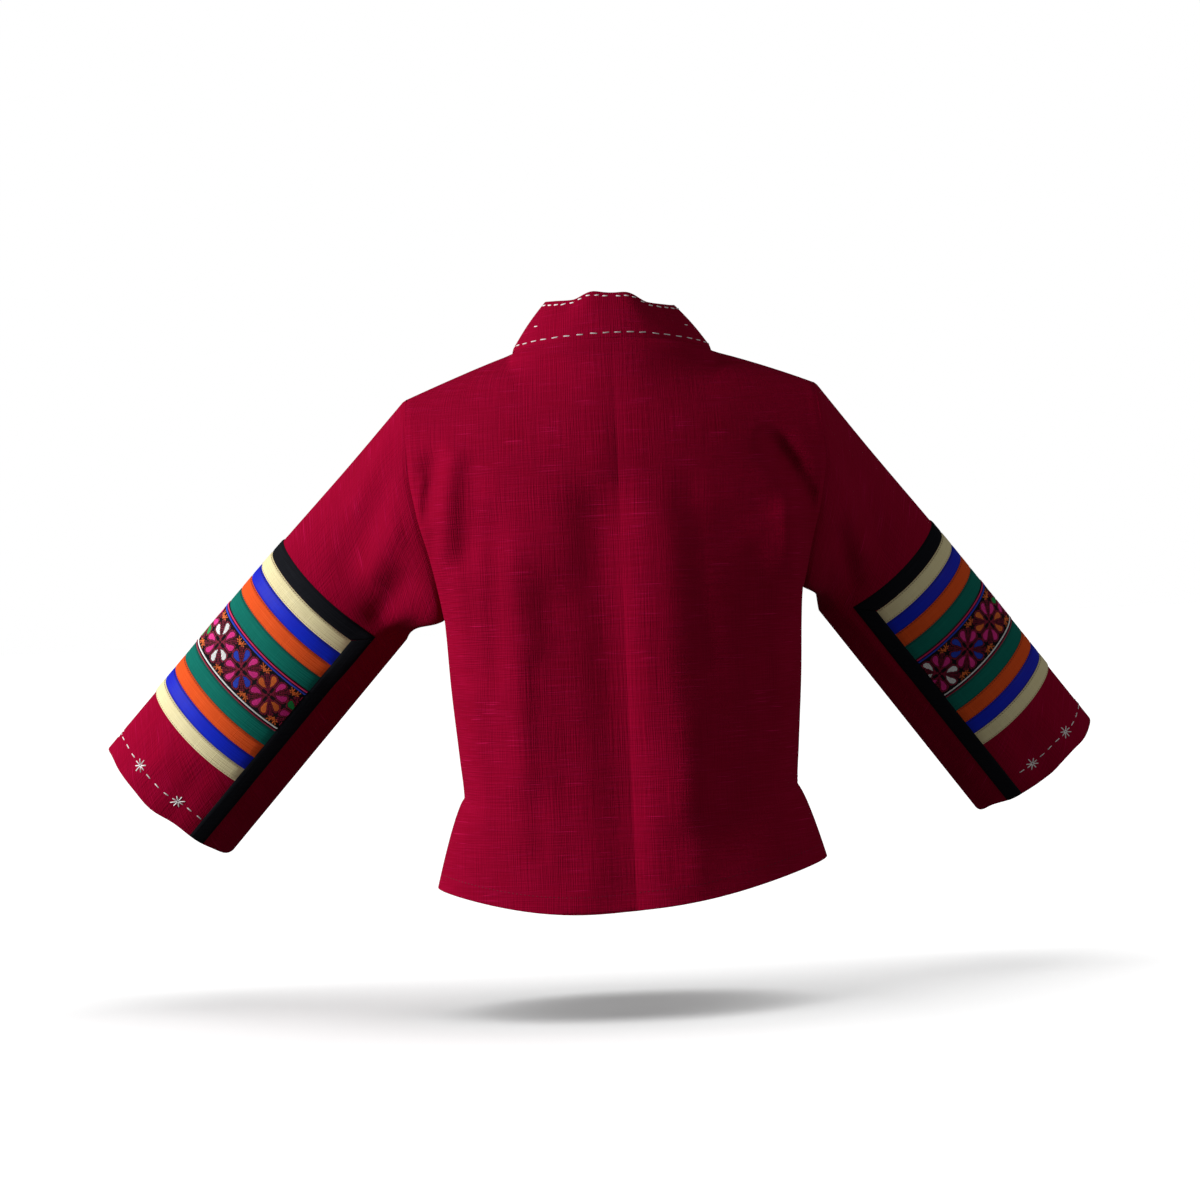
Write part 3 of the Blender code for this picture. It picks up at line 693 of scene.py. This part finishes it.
def build_panel(side, face):
    rows = int(560 / STEP)
    v = np.linspace(0, 1, rows + 1)[:, None]
    if face == "back":
        s = np.concatenate([np.sin(np.linspace(0, math.pi / 2, 12))[:-1] * NECK_FRACTION,
                            NECK_FRACTION + (1 - NECK_FRACTION) * np.sin(np.linspace(0, math.pi / 2, 34))])
        s = s[None, :]
    else:
        s = front_fraction(np.linspace(0, 1, 40)[None, :], v)
    grid = torso_point(side, face, s, v)
    away = np.array([0.3 * side.sign, 1.0 if face == "back" else -1.0, 0.3])
    normal = turned_out(normals_of(grid), away)
    wide, high = arc(grid, 1), arc(grid, 0)
    on_neck = smooth((NECK_FRACTION + 0.02 - s) / 0.04)[..., None] if face == "back" else 0.0
    top_out = unit(neck_out(grid) * on_neck + np.array([0.0, 0.0, 1.0]) * (1 - on_neck))
    joined = smooth((grid[:, -1:, 2] - SLIT_TOP_Z) / 8)
    tucks = [(groove(high), top_out), (groove(wide[:, -1:] - wide) * joined, side_out(side, grid))]
    if face == "back":
        normal[:, 0, 0] = 0.0
        normal[:, 0] = unit(normal[:, 0])
        tucks.append((groove(wide) * CENTRE_TUCK, normal))
    else:
        tucks.append((groove(wide), neck_out(grid)))
    outer = tucked(grid, tucks)
    inner = outer - normal * CLOTH
    if face == "back":
        for sheet in (outer, inner):
            sheet[:, 0, 0] = 0.0
    return shell(f"cloth_{face}_{side.name}", outer, inner, CLOTHS["burgundy"], soft=("low", "out"), level=True)


def build_sleeve(side):
    angles = np.arange(0, 360, 5.0)[None, :]
    head, seam_q = sleeve_point(side, angles, np.linspace(0, 1, 34)[:-1, None])
    ends = cuff_q(side, angles)
    along = np.linspace(0, 1, int((SLEEVE_LENGTH - BLEND_END) / STEP) + 1)[:, None]
    q = BLEND_END + (ends - BLEND_END) * along
    grid = np.concatenate([head, cloth_point(side, angles, q)])
    centre = grid.mean(1, keepdims=True)
    normal = turned_out(normals_of(grid, closed=True), grid - centre)
    outer = tucked(grid, [(groove(arc(grid, 0)), side_out(side, grid))])
    piece = shell(f"cloth_sleeve_{side.name}", outer, outer - normal * CLOTH, CLOTHS["burgundy"],
                  closed=True, soft=("low",))
    return piece


def strip_lift(u, edge):
    """Height of a sewn strip's top at fraction u of its width: turned edges and a soft middle."""
    near = np.minimum(u, 1 - u) / edge
    return STRIP_LOW + (STRIP_HIGH - STRIP_LOW) * smooth(near * 1.6) - 0.18 * np.exp(-((near - 1.6) / 0.5) ** 2)


def build_strip(side, name, slot, angles, first, last, width):
    count = max(7, int(width / 1.6)) | 1
    u = np.linspace(0, 1, count)[:, None]
    q = first + (last - first) * u
    ends = np.minimum(np.arange(len(angles[0])), np.arange(len(angles[0]))[::-1])
    side_drop = np.where(ends == 0, 0.0, 1.0)[None, :]
    lift = STRIP_LOW + (strip_lift(u, 1.0 / width) - STRIP_LOW) * side_drop
    outer = cloth_point(side, angles, q, lift)
    inner = cloth_point(side, angles, q, np.full_like(lift, 0.05))
    piece = shell(f"cloth_{name}_{side.name}", outer, inner, CLOTHS[slot])
    return piece


def build_sleeve_panel(side):
    made = []
    q = PANEL_START
    inside = np.arange(-side.border_in, side.border_in + 0.01, side.border_in * 2 / 68)[None, :]
    for strip in STRIPS:
        first, last = q + 0.15, q + strip.width - 0.15
        if strip.name == "border_top":
            angles = np.linspace(-side.border_out, side.border_out, 77)[None, :]
            over = np.clip((np.abs(angles) - side.border_in) / (side.border_out - side.border_in), 0, 1)
            made.append((build_strip(side, strip.name, strip.slot, angles, first,
                                     last + (first + 1.2 - last) * over, strip.width), strip.name, strip))
        else:
            made.append((build_strip(side, strip.name, strip.slot, inside, first, last, strip.width),
                         strip.name, strip))
        q += strip.width
    for face, turn in (("back", 1), ("front", -1)):
        v = np.linspace(0, 1, 76)[:, None]
        angles = turn * np.linspace(side.border_in + 0.05, side.border_out, 13)[None, :]
        part = (np.abs(angles) - side.border_in) / (side.border_out - side.border_in)
        top = PANEL_START + STRIPS[0].width * (1 - part) + 1.6 * part
        grid_q = top + (cuff_q(side, angles) - 0.6 - top) * v
        lift = STRIP_LOW + (strip_lift(part, 0.055) - STRIP_LOW) * np.ones_like(grid_q)
        outer = cloth_point(side, angles, grid_q, lift)
        inner = cloth_point(side, angles, grid_q, np.full_like(lift, 0.05))
        made.append((shell(f"cloth_border_{face}_{side.name}", outer, inner, CLOTHS["black"]),
                     f"border_{face}", None))
    return made


def collar_seam(side, station):
    """The edge that the collar is sewn to, at stations 0 (centre back) to 2 (front hem)."""
    back = torso_point(side, "back", NECK_FRACTION * np.sin(math.pi / 2 * np.minimum(station, 1.0)),
                       np.zeros_like(station))
    v = np.clip(station - 1, 0, 1)
    front = torso_point(side, "front", front_fraction(np.zeros_like(v), v), v)
    return np.where((station <= 1)[..., None], back, front)


def collar_point(side, station, u):
    """A point of the collar's outer face: u 0 on its seam, 1 on its free edge."""
    station, u = np.broadcast_arrays(np.asarray(station, float), np.asarray(u, float))
    seam = collar_seam(side, station)
    lean = np.stack([-side.sign * curve(COLLAR, "inward", station), -curve(COLLAR, "forward", station),
                     curve(COLLAR, "up", station)], -1)
    lean[..., 2] += COLLAR_TILT * (seam[..., 0] + lean[..., 0]) * smooth(1 + seam[..., 2] / COLLAR_TILT_FADE)
    drop = side.neck_drop * np.minimum(1.0, station) ** 2
    lean[..., 2] += drop * (1 - smooth((station - 1) / NECK_DROP_FADE))
    bulge = COLLAR_BULGE * np.sin(math.pi * u) * smooth((1.3 - station) / 0.3)
    point = seam + lean * u[..., None]
    return point + neck_out(point) * (bulge - groove(u * COLLAR_HEIGHT))[..., None]


def build_collar(side):
    station = np.concatenate([np.linspace(0, 1, 26)[:-1], np.linspace(1, 1.4, 34)[:-1], np.linspace(1.4, 2, 66)])
    outer = collar_point(side, station[None, :], np.linspace(0, 1, 15)[:, None])
    normal = turned_out(normals_of(outer), neck_out(outer))
    normal[:, 0, 0] = 0.0
    inner = outer - unit(normal) * COLLAR_CLOTH
    for sheet in (outer, inner):
        sheet[:, 0, 0] = 0.0
    return shell(f"cloth_collar_{side.name}", outer, inner, CLOTHS["burgundy"], soft=("low", "out"))


# ---------------------------------------------------------------- embroidery
# One quadrant of a flower, from the centre line of the band outwards (bottom to top) and along it
# (left to right), with its mirror over the diagonal. r outline, f lobe, h ladder.
PETAL = (
    "....rrrr..........",
    "..rrffffrr........",
    ".rrffffffr..h.....",
    ".rfffffffr.h.h....",
    ".rfffffffr..h.....",
    ".rffffffr..h......",
    ".rffffffr.h.......",
    ".rfffffr.h........",
    ".rffffr.h.........",
    ".rffffr.h.........",
    "..rffr.h..........",
    "..rffr............",
    "..rrr.............",
    "..rr..............",
    "..rr..............",
    ".rr...............",
    ".r................",
    "..................",
)
# A sprig, its foot towards the middle of the band; it sits between two flowers at each edge.
SPRIG = (
    "s..s...s..s",
    ".s.s...s.s.",
    "..ss.s.ss..",
    "ss.sssss.ss",
    "..s.sss.s..",
    ".....s.....",
)
HALF = 17
PITCH = 38.0
CELL_ALONG = PITCH / (2 * HALF + 1)
CELL_ACROSS = 1.235
GROUND_HALF = 23.8
CYCLE = ("thread_green", "thread_white", "thread_blue", "thread_orange")
# Edge lines of the band: name, distance from its middle towards the shoulder, and width.
Line = namedtuple("Line", "thread across width")
LINES = (
    Line("thread_pink", 27.6, 2.2),
    Line("thread_blue", 24.6, 2.4),
    Line("thread_white", -24.6, 2.0),
    Line("thread_red", -27.7, 2.0),
)
BAND_START = PANEL_START + sum(strip.width for strip in STRIPS[:5])
BAND_WIDTH = STRIPS[5].width
BAND_MIDDLE = BAND_START + BAND_WIDTH / 2
FLOWER_PHASE = {"left": -2.3, "right": -3.0}
THREADS = {
    "thread_magenta": thread_material("thread_magenta", (0.74, 0.022, 0.26)),
    "thread_red": thread_material("thread_red", (0.27, 0.002, 0.034)),
    "thread_pink": thread_material("thread_pink", (0.66, 0.018, 0.13)),
    "thread_blue": thread_material("thread_blue", (0.010, 0.045, 0.52)),
    "thread_green": thread_material("thread_green", (0.006, 0.30, 0.060)),
    "thread_orange": thread_material("thread_orange", (0.76, 0.15, 0.022)),
    "thread_white": thread_material("thread_white", (0.80, 0.80, 0.79)),
    "thread_dark": thread_material("thread_dark", (0.012, 0.011, 0.015)),
    "thread_wine": thread_material("thread_wine", (0.12, 0.001, 0.014)),
}
THREAD_NAMES = tuple(THREADS)


class Work:
    """Stitches gathered as strands on a surface, then made into one mesh."""

    def __init__(self, place):
        self.place = place
        self.strands = []

    def strand(self, u0, v0, u1, v1, width, height, thread, lift=0.0):
        self.strands.append((u0, v0, u1, v1, width, height, lift, THREAD_NAMES.index(thread)))

    def make(self, name):
        data = np.array(self.strands, float)
        start, end = data[:, 0:2], data[:, 2:4]
        width, height, lift = data[:, 4:5], data[:, 5], data[:, 6]
        run = end - start
        length = np.linalg.norm(run, axis=1, keepdims=True)
        run = run / np.maximum(length, 1e-6)
        cross = np.stack([-run[:, 1], run[:, 0]], 1) * width / 2
        inset = np.minimum(length * 0.3, width * 0.6)
        first, last = start + run * inset, end - run * inset
        corners = [(start, 0.0), (first + cross, 0.0), (first - cross, 0.0), (last + cross, 0.0),
                   (last - cross, 0.0), (end, 0.0), (first, 1.0), (last, 1.0)]
        points = np.stack([self.place(spot[:, 0], spot[:, 1], lift + height * rise)
                           for spot, rise in corners], 1)
        shape = ((0, 2, 6), (0, 6, 1), (1, 6, 7, 3), (6, 2, 4, 7), (3, 7, 5), (7, 4, 5))
        faces, chosen = [], []
        for k in range(len(data)):
            faces.extend(tuple(8 * k + a for a in face) for face in shape)
            chosen.extend([int(data[k, 7])] * len(shape))
        used = sorted(set(chosen))
        chosen = [used.index(c) for c in chosen]
        up = points[:, 6] - (points[:, 1] + points[:, 2]) / 2
        facing = np.cross(points[:, 6] - points[:, 1], points[:, 7] - points[:, 1])
        if np.sum(facing * up) < 0:
            faces = [face[::-1] for face in faces]
        return mesh_piece(name, points.reshape(-1, 3), faces, [THREADS[THREAD_NAMES[c]] for c in used],
                          chosen=chosen, crease_angle=80)


def ring_arc(side, q):
    """Angles round the sleeve, and the arc length from its top line to each of them."""
    angle = np.linspace(-180, 180, 721)
    points = tube_point(side, angle, np.full_like(angle, q))
    length = np.concatenate([[0], np.cumsum(np.linalg.norm(np.diff(points, axis=0), axis=1))])
    return angle, length - np.interp(0, angle, length)


def sleeve_place(side, q0, surface, sense=-1):
    """Places on the sleeve: u along the arc, v from q0 (sense -1: towards the shoulder)."""
    angle, length = ring_arc(side, q0)

    def place(u, v, lift):
        return cloth_point(side, np.interp(u, length, angle), q0 + sense * v, surface + lift)
    return place


def chart_cell(i, j):
    i, j = abs(i), abs(j)
    i, j = (i, j) if i <= j else (j, i)
    return PETAL[HALF - j][i]


def embroider(side):
    work = Work(sleeve_place(side, BAND_MIDDLE, STRIP_HIGH - 0.05))
    angle, length = ring_arc(side, BAND_MIDDLE)
    limit = float(np.interp(side.border_in, angle, length)) - 0.8
    rng = np.random.default_rng(7 if side is LEFT else 11)
    lobes = -1 if side is LEFT else 1
    for k in range(-5, 6):
        middle = FLOWER_PHASE[side.name] + k * PITCH
        if abs(middle) > limit + PITCH / 2:
            continue
        colour = CYCLE[k % 4] if side is LEFT else CYCLE[-k % 4]
        for i in range(-HALF, HALF + 1):
            u = middle + i * CELL_ALONG
            if abs(u) > limit:
                continue
            for j in range(-HALF, HALF + 1):
                mark = chart_cell(i, j)
                if mark == ".":
                    continue
                v = j * CELL_ACROSS
                thread = "thread_red"
                if mark == "f":
                    thread = colour if i * j * lobes > 0 else "thread_magenta"
                    level = abs(i) <= abs(j)
                    ends = [0.60 if chart_cell(i + (k if level else 0), j + (0 if level else k)) == "f" else 0.10
                            for k in (-1, 1)]
                    for way in (-1, 1):
                        if chart_cell(i + (0 if level else way), j + (way if level else 0)) != "f":
                            continue
                        shake = rng.uniform(-0.12, 0.12)
                        if level:
                            row = v + way * CELL_ACROSS / 4
                            work.strand(u - ends[0] * CELL_ALONG, row + shake, u + ends[1] * CELL_ALONG,
                                        row - shake, 0.74, 0.36, thread)
                        else:
                            column = u + way * CELL_ALONG / 4
                            work.strand(column + shake, v - ends[0] * CELL_ACROSS, column - shake,
                                        v + ends[1] * CELL_ACROSS, 0.66, 0.36, thread)
                    continue
                a, b = CELL_ALONG * 0.48, CELL_ACROSS * 0.48
                work.strand(u - a, v - b, u + a, v + b, 0.62, 0.30, thread)
                work.strand(u - a, v + b, u + a, v - b, 0.62, 0.30, thread, 0.14)
        seam = middle + PITCH / 2
        for row, line in enumerate(SPRIG):
            for column, mark in enumerate(line):
                u = seam + (column - (len(line) - 1) / 2) * CELL_ALONG
                if mark == "." or abs(u) > limit:
                    continue
                a, b = CELL_ALONG * 0.55, CELL_ACROSS * 0.55
                for edge in (1, -1):
                    v = edge * (HALF + 1 - row) * CELL_ACROSS
                    work.strand(u - a, v - b, u + a, v + b, 0.60, 0.34, "thread_orange")
                    work.strand(u - a, v + b, u + a, v - b, 0.60, 0.34, "thread_orange", 0.12)
    for line in LINES:
        step = 0.85
        for k in range(int(-limit / step), int(limit / step) + 1):
            u, half = k * step, line.width / 2
            work.strand(u - 0.35, line.across - half, u + 0.35, line.across + half, 0.92, 0.55, line.thread)
    made = work.make(f"embroidery_{side.name}")
    return made


def star(work, u, v, reach, rng):
    turn = rng.uniform(-8, 8)
    for k in range(8):
        way = math.radians(turn + 45 * k + rng.uniform(-5, 5))
        size = reach * rng.uniform(0.86, 1.08)
        work.strand(u + 0.4 * math.cos(way), v + 0.4 * math.sin(way), u + size * math.cos(way),
                    v + size * math.sin(way), 1.25, 0.75, "thread_white", 0.06 * (k % 3))


def cuff_stitches(side, first, pitch, back_from_cuff):
    """Stars with dashes between them, a little above the cuff, from border to border."""
    q0 = SLEEVE_LENGTH - back_from_cuff
    angle, length = ring_arc(side, q0)
    limit = float(np.interp(side.border_in, angle, length)) - 1.0

    def place(u, v, lift):
        turned = np.interp(u, length, angle)
        return cloth_point(side, turned, cuff_q(side, turned) - back_from_cuff + v, lift)

    work = Work(place)
    rng = np.random.default_rng(3 if side is LEFT else 5)
    for k in range(-4, 5):
        u = first + k * pitch
        if abs(u) < limit - 8:
            star(work, u, rng.uniform(-0.6, 0.6), 7.6, rng)
        gap = (pitch - 16.0) / 3
        for n in range(3):
            middle = u + 8.0 + gap * (n + 0.5)
            v = rng.uniform(-0.7, 0.7)
            if abs(middle) < limit - 3.2:
                work.strand(middle - 3.2, v, middle + 3.2, v + rng.uniform(-0.5, 0.5), 1.25, 0.7, "thread_white")
    if side is RIGHT:
        edge = float(np.interp(side.border_out, angle, length)) + 3.0
        work.strand(edge, -46, edge + 4, -45.5, 0.8, 0.4, "thread_wine")
    return work.make(f"cuff_stitches_{side.name}")


def edge_stitches(side):
    """Fine machine lines along the strips."""
    work = Work(sleeve_place(side, PANEL_START, STRIP_HIGH - 0.06, 1))
    angle, length = ring_arc(side, PANEL_START)
    limit = float(np.interp(side.border_in, angle, length)) - 0.5
    q = 0.0
    pitch, stitch = 2.9, 2.0
    for strip in STRIPS:
        if strip.name not in ("embroidered", "border_top"):
            lines = (1.3, strip.width - 1.3) if strip.slot != "cream" else (1.3, strip.width - 2.0)
            for across in lines:
                for k in range(int(-limit / pitch) + 1, int(limit / pitch)):
                    u = k * pitch
                    work.strand(u, q + across, u + stitch, q + across, 0.34, 0.16,
                                "thread_dark" if strip.slot in ("green", "blue") else "thread_wine")
        q += strip.width
    return work.make(f"strip_stitches_{side.name}")


def collar_place(side):
    """Places on the collar: u millimetres along it from the centre back, v up from its seam."""
    station = np.linspace(0, 2, 401)
    points = collar_point(side, station, np.full_like(station, 0.5))
    length = np.concatenate([[0], np.cumsum(np.linalg.norm(np.diff(points, axis=0), axis=1))])
    height = np.linalg.norm(collar_point(side, station, np.ones_like(station)) -
                            collar_point(side, station, np.zeros_like(station)), axis=1)

    def place(u, v, lift):
        at = np.clip(np.interp(u, length, station), 0.002, 1.998)
        rise = np.clip(v / np.interp(at, station, height), 0.02, 0.98)
        point = collar_point(side, at, rise)
        along = collar_point(side, at + 0.001, rise) - collar_point(side, at - 0.001, rise)
        normal = np.cross(along, collar_point(side, at, rise + 0.01) - collar_point(side, at, rise - 0.01))
        normal = normal / np.linalg.norm(normal, axis=-1, keepdims=True)
        normal = normal * np.sign(np.sum(normal * neck_out(point), axis=-1, keepdims=True))
        return point + normal * lift[:, None]
    return place, length[-1], lambda u: np.interp(np.interp(u, length, station), station, height)


def collar_stitches(side):
    """White running stitches below the free edge and above the seam, and one dash between."""
    place, length, height = collar_place(side)
    work = Work(place)
    rng = np.random.default_rng(13 if side is LEFT else 17)
    u = 2.0 if side is LEFT else 6.5
    while u < length - 8:
        top = float(height(u))
        work.strand(u, top - 4.6 + rng.uniform(-0.5, 0.5), u + 6.3, top - 4.6 + rng.uniform(-0.5, 0.5),
                    1.35, 0.8, "thread_white")
        low = u + (0.0 if side is LEFT else -4.0)
        work.strand(low, 6.5 + rng.uniform(-0.5, 0.5), low + 6.3, 6.5 + rng.uniform(-0.5, 0.5), 1.3, 0.8,
                    "thread_white")
        u += 11.0 + rng.uniform(-0.7, 0.7)
    lone = 78.0 if side is LEFT else 80.0
    work.strand(lone, 26.0, lone + 5.0, 26.6, 1.2, 0.6, "thread_white")
    return work.make(f"collar_stitches_{side.name}")


def hem_stitches(side, face):
    """The turned hem's blind stitches, and the stitching down the slit."""
    corner = float(np.linalg.norm(torso_point(side, face, 1.0, 1.0) - torso_point(side, face, 1.0, 0.97)))
    s = np.linspace(0, 1, 300)
    bottom = torso_point(side, face, s, np.full_like(s, 0.97))
    length = np.concatenate([[0], np.cumsum(np.linalg.norm(np.diff(bottom, axis=0), axis=1))])

    def place(u, v, lift):
        at = np.clip(np.interp(u, length, s), 0.0, 0.9995)
        down = np.clip(1 - v / corner * 0.03, 0, 1)
        point = torso_point(side, face, at, down)
        aside = torso_point(side, face, at + 0.0004, down) - torso_point(side, face, at - 0.0004, down)
        normal = np.cross(aside, torso_point(side, face, at, down) - torso_point(side, face, at, down - 0.002))
        normal = normal / np.linalg.norm(normal, axis=-1, keepdims=True)
        normal = normal * np.sign(normal[:, 1:2]) * (1 if face == "back" else -1)
        return point + normal * lift[:, None]
    work = Work(place)
    start = 3.0 if face == "back" else 66.0
    for k in range(int((length[-1] - start - 8) / 4.2)):
        u = start + k * 4.2
        work.strand(u, 14.6, u + 2.0, 14.9, 0.5, 0.22, "thread_wine")
    for k in range(17):
        v = 15 + k * 4.2
        work.strand(length[-1] - 7.5, v, length[-1] - 7.5, v + 2.4, 0.5, 0.22, "thread_wine")
    return work.make(f"hem_stitches_{face}_{side.name}")


SLEEVE_CUT = {"left": ((0.43, 0.52), 0.19), "right": ((0.39, 0.52), 0.172)}
STRIP_CUT = {"left": 0.283, "right": 0.244}
BORDER_CUT = {"left": 0.317, "right": 0.278}
for side in SIDES:
    collar = build_collar(side)
    declare(collar, f"collar_{side.name}", "burgundy", (0.062, 0.68), None, [f"back_{side.name}"])
    pieces = {}
    for face, flat, area in (("back", (0.235, 0.60), 0.118), ("front", (0.185, 0.60), 0.085)):
        piece = build_panel(side, face)
        declare(piece, f"{face}_{side.name}", "burgundy", flat, area, [collar.name])
        pieces[face] = piece
    sleeve = build_sleeve(side)
    declare(sleeve, f"sleeve_{side.name}", "burgundy", *SLEEVE_CUT[side.name], [pieces["back"].name, pieces["front"].name])
    for piece, name, strip in build_sleeve_panel(side):
        if strip is None:
            declare(piece, f"{name}_{side.name}", "black", (0.017, 0.30), None, [sleeve.name])
        else:
            length = BORDER_CUT[side.name] if strip.name == "border_top" else STRIP_CUT[side.name]
            declare(piece, f"{name}_{side.name}", strip.slot, (strip.width * MM, length), None, [sleeve.name])

    embroider(side)
    edge_stitches(side)
    cuff_stitches(side, 57.5 if side is LEFT else 46.5, 55.0 if side is LEFT else 50.0, 24.0)
    collar_stitches(side)
    for face in ("back", "front"):
        hem_stitches(side, face)


# ---------------------------------------------------------------- stage, camera, lights
CAMERA_AT = (0.02265, 2.4, -0.2482)
CAMERA_ROLL = math.radians(2.5)
FLOOR_Z = -0.655

camera_data = bpy.data.cameras.new("camera")
camera_data.lens, camera_data.sensor_width = 72.0, 36.0
camera = bpy.data.objects.new("camera", camera_data)
right = Vector((-math.cos(CAMERA_ROLL), 0, -math.sin(CAMERA_ROLL)))
up = Vector((-math.sin(CAMERA_ROLL), 0, math.cos(CAMERA_ROLL)))
back = Vector((0, 1, 0))
camera.matrix_world = Matrix.Translation(CAMERA_AT) @ Matrix((right, up, back)).transposed().to_4x4()
bpy.context.scene.collection.objects.link(camera)
bpy.context.scene.camera = camera

floor_mesh = bpy.data.meshes.new("floor")
floor_mesh.from_pydata([(-30, -30, FLOOR_Z), (30, -30, FLOOR_Z), (30, 30, FLOOR_Z), (-30, 30, FLOOR_Z)],
                       [], [(0, 1, 2, 3)])
floor = bpy.data.objects.new("floor", floor_mesh)
bpy.context.scene.collection.objects.link(floor)
pale = bpy.data.materials.new("pale_floor")
pale.use_nodes = True
pale.node_tree.nodes["Principled BSDF"].inputs["Base Color"].default_value = (0.92, 0.92, 0.92, 1)
pale.node_tree.nodes["Principled BSDF"].inputs["Roughness"].default_value = 0.9
pale.node_tree.nodes["Principled BSDF"].inputs["Emission Color"].default_value = (1, 1, 1, 1)
pale.node_tree.nodes["Principled BSDF"].inputs["Emission Strength"].default_value = 0.22
floor_mesh.materials.append(pale)
floor.visible_diffuse = False
floor.visible_glossy = False

world = bpy.data.worlds.new("studio")
bpy.context.scene.world = world
world.use_nodes = True
tree = world.node_tree
sky = tree.nodes["Background"]
sky.inputs["Color"].default_value = (1, 1, 1, 1)
sky.inputs["Strength"].default_value = 1.0
dim = node(tree, "ShaderNodeBackground")
dim.inputs["Color"].default_value = (1, 1, 1, 1)
dim.inputs["Strength"].default_value = 0.11
seen = node(tree, "ShaderNodeLightPath")
either = node(tree, "ShaderNodeMixShader")
tree.links.new(seen.outputs["Is Camera Ray"], either.inputs["Fac"])
tree.links.new(dim.outputs["Background"], either.inputs[1])
tree.links.new(sky.outputs["Background"], either.inputs[2])
tree.links.new(either.outputs["Shader"], tree.nodes["World Output"].inputs["Surface"])

ground_only = bpy.data.collections.new("ground_only")
ground_only.objects.link(floor)


def lamp(name, at, look, width, height, power, receivers):
    data = bpy.data.lights.new(name, "AREA")
    data.shape, data.size, data.size_y, data.energy = "RECTANGLE", width, height, power
    made = bpy.data.objects.new(name, data)
    made.matrix_world = Matrix.Translation(at) @ (Vector(at) - Vector(look)).to_track_quat("Z", "Y").to_matrix().to_4x4()
    bpy.context.scene.collection.objects.link(made)
    made.light_linking.receiver_collection = receivers
    return made


lamp("key", (3.0, 0.95, 0.75), (0, 0, -0.25), 1.1, 1.5, 165, garment)
lamp("fill", (-2.6, 1.5, 0.5), (0, 0, -0.25), 1.6, 1.6, 15, garment)

for lean in (-22, 0, 22):
    sun = bpy.data.lights.new("above", "SUN")
    sun.energy, sun.angle = 1.02, math.radians(46)
    above = bpy.data.objects.new("above", sun)
    above.rotation_euler = (0, math.radians(lean), 0)
    bpy.context.scene.collection.objects.link(above)
    above.light_linking.receiver_collection = ground_only

view = bpy.context.scene.view_settings
view.view_transform = "Standard"
view.look = "None"
